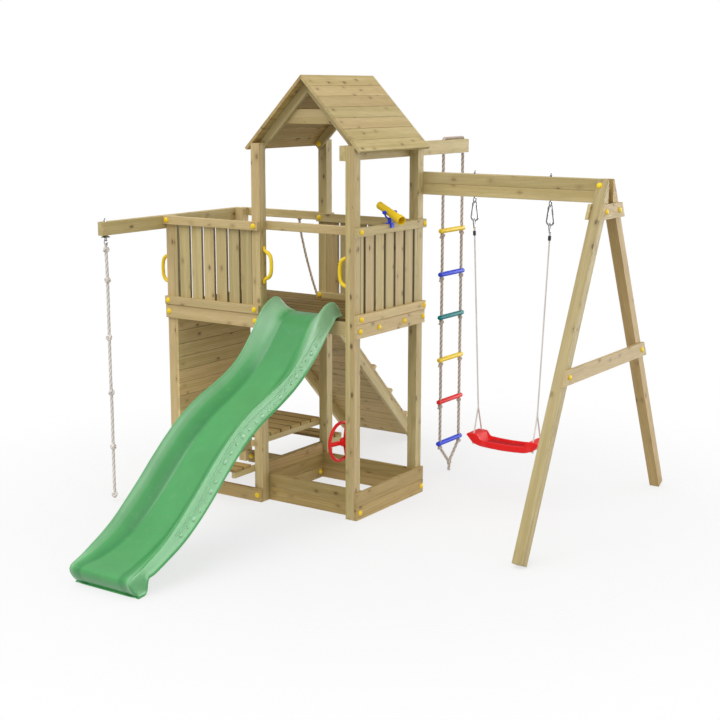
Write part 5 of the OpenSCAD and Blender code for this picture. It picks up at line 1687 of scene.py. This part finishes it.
@dataclass
class Fittings:
    """Handles, telescope, wheel and hardware.

    Attributes:
        bar: Diameter of a handle's grip.
        reach: Distance from the post to the far side of a handle.
        handle: Length of a handle.
        places: Foot and direction of each handle.
        rib: Depth of the grip's ribs, as a share of its radius, and their distance.
        scope: Middle of the telescope's tilt axis.
        aim: Pan and tilt of the telescope at rest, in degrees.
        tube: Radius, front end and back end of the telescope's tube.
        cheek: Distance from the middle to the outer face of the telescope's fork.
        hub: Where the wheel's cap stands.
    """

    bar: float = 0.026
    reach: float = 0.08
    handle: float = 0.25
    places: Sequence[tuple[Triple, int]] = (((-0.725, 0.0, 1.64), 1), ((-0.035, 0.0, 1.64), -1),
                                            ((-1.555, 0.0, 1.555), -1), ((-1.555, 0.762, 1.555), -1))
    rib: Pair = (0.07, 0.013)
    scope: Triple = (0.049, 0.355, 2.005)
    aim: Pair = (-20.5, 19.0)
    tube: Triple = (0.031, 0.1399, -0.1241)
    cheek: float = 0.0472
    hub: Triple = (-0.0839, 0.0, 0.514)

    def build(self) -> None:
        """Makes the handles and the small parts and dresses the CAD fittings."""
        handles = [self._handle(f"handle_{n}", at, hand) for n, (at, hand) in enumerate(self.places)]
        merged = Workshop.merge("grab_handles_moulded", handles)
        settle(merged, Body.FRAME, Slot.YELLOW, YELLOW, "grab_handles")
        self._telescope()
        self._wheel()
        for node, finish in (("bolt_caps", YELLOW), ("swing_eyebolts", ZINC), ("rope_eyebolt", ZINC),
                             ("rope_shackle", ZINC), ("rope_hook", BLACK),
                             ("swing_ferrules", BLACK), ("wheel_base", RED), ("steering_wheel", RED),
                             ("telescope_base", BLUE), ("telescope_fork", BLUE)):
            dress(node, finish)

    def _handle(self, name: str, at: Triple, hand: int) -> Piece:
        """One bowed handle with flat feet and a ribbed grip.

        Args:
            name: The piece's name.
            at: Middle of its place on the post.
            hand: 1 where it stands out to the right and -1 to the left.

        Returns:
            The handle.
        """
        reach, half = self.reach - self.bar / 2, self.handle / 2
        shares = [(0.11, 1, 0.52), (0.12, 0.93, 0.62), (0.14, 0.85, 0.68), (0.2, 0.77, 0.78),
                  (0.4, 0.71, 0.94), (0.62, 0.65, 1), (0.81, 0.55, 1), (0.93, 0.41, 1), (0.985, 0.22, 1),
                  (1, 0, 1)]
        upper = [Vector((a * reach, b * half, c * self.bar / 2)) for a, b, c in shares]
        lower = [Vector((p.x, -p.y, p.z)) for p in reversed(upper[:-1])]
        rows = smooth(upper + lower, 8)
        base = Vector(at)

        def place(u: float, row: int) -> Vector:
            """Finds one point of the handle.

            Args:
                u: Share round the bar.
                row: Number of the row along it.

            Returns:
                The point.
            """
            here = rows[row]
            ahead = rows[min(row + 1, len(rows) - 1)] - rows[max(row - 1, 0)]
            normal = Vector((-ahead.y, ahead.x)).normalized()
            rib = 1.0
            if abs(here.y) < half / 2:
                rib -= self.rib[0] * (0.5 - 0.5 * math.cos(2 * math.pi * here.y / self.rib[1]))
            out = here.z * rib * math.cos(2 * math.pi * u)
            wide = max(here.z, 0.45 * self.bar) * rib * math.sin(2 * math.pi * u)
            return base + Vector((hand * (here.x + normal.x * out), wide, here.y + normal.y * out))

        obj = Workshop.sheet(name, len(rows), 25, place)
        Workshop.close(obj)
        return obj

    def _telescope(self) -> None:
        """Turns the open tube of the telescope and adds knobs over its trunnions."""
        middle = Vector(self.scope)
        pan, tilt = (math.radians(angle) for angle in self.aim)
        way = Vector((math.cos(tilt) * math.cos(pan), math.cos(tilt) * math.sin(pan), -math.sin(tilt)))
        side = Vector((-math.sin(pan), math.cos(pan), 0))
        r, front, back = self.tube
        profile = [(back, 0.0003), (back, 0.7 * r), (back + 0.003, 0.8 * r), (back + 0.008, 0.83 * r),
                   (back + 0.018, 0.83 * r), (back + 0.02, 0.79 * r), (0.0, 0.84 * r),
                   (front - 0.04, 0.88 * r), (front - 0.037, 0.97 * r), (front - 0.034, r),
                   (front - 0.002, r), (front, 0.97 * r), (front, 0.87 * r), (front - 0.004, 0.85 * r),
                   (back + 0.03, 0.68 * r), (back + 0.028, 0.0003)]
        body = Workshop.turned("telescope_tube_moulded", profile, tuple(middle), tuple(way), 48)
        Workshop.soften(body, 35)
        pin = [(0.022, 0.0003), (0.022, 0.006), (0.041, 0.006), (0.041, 0.0003)]
        knob = [(0.0, 0.0085), (0.001, 0.0105), (0.006, 0.0105), (0.0085, 0.008), (0.009, 0.0003)]
        pins, knobs = [], []
        for hand in (-1, 1):
            axis = tuple(side * hand)
            outer = tuple(middle + side * hand * self.cheek)
            pins.append(Workshop.turned(f"scope_pin_{hand}", pin, tuple(middle), axis, 24))
            knobs.append(Workshop.turned(f"scope_knob_{hand}", knob, outer, axis))
        merged = Workshop.merge("telescope_tube_moulded", [body] + pins)
        settle(merged, Body.TUBE, Slot.YELLOW, YELLOW, "telescope_tube")
        settle(Workshop.merge("telescope_knobs", knobs), Body.FORK, Slot.BLUE, BLUE)

    def _wheel(self) -> None:
        """Adds a stepped cap to the hub of the steering wheel."""
        profile = [(0.0, 0.024), (0.002, 0.026), (0.006, 0.025), (0.007, 0.018), (0.009, 0.016),
                   (0.0105, 0.0003)]
        cap = Workshop.turned("wheel_cap", profile, self.hub, (-1, 0, 0), 48)
        settle(cap, Body.WHEEL, Slot.RED, RED)


def main() -> None:
    """Builds the scene piece by piece."""
    logging.basicConfig(level=logging.INFO, format="%(message)s")
    for maker in (Studio, FreeRopes, Timber, Slide, Swing, RopeLadder, Fittings):
        maker().build()


if __name__ == "__main__":
    main()
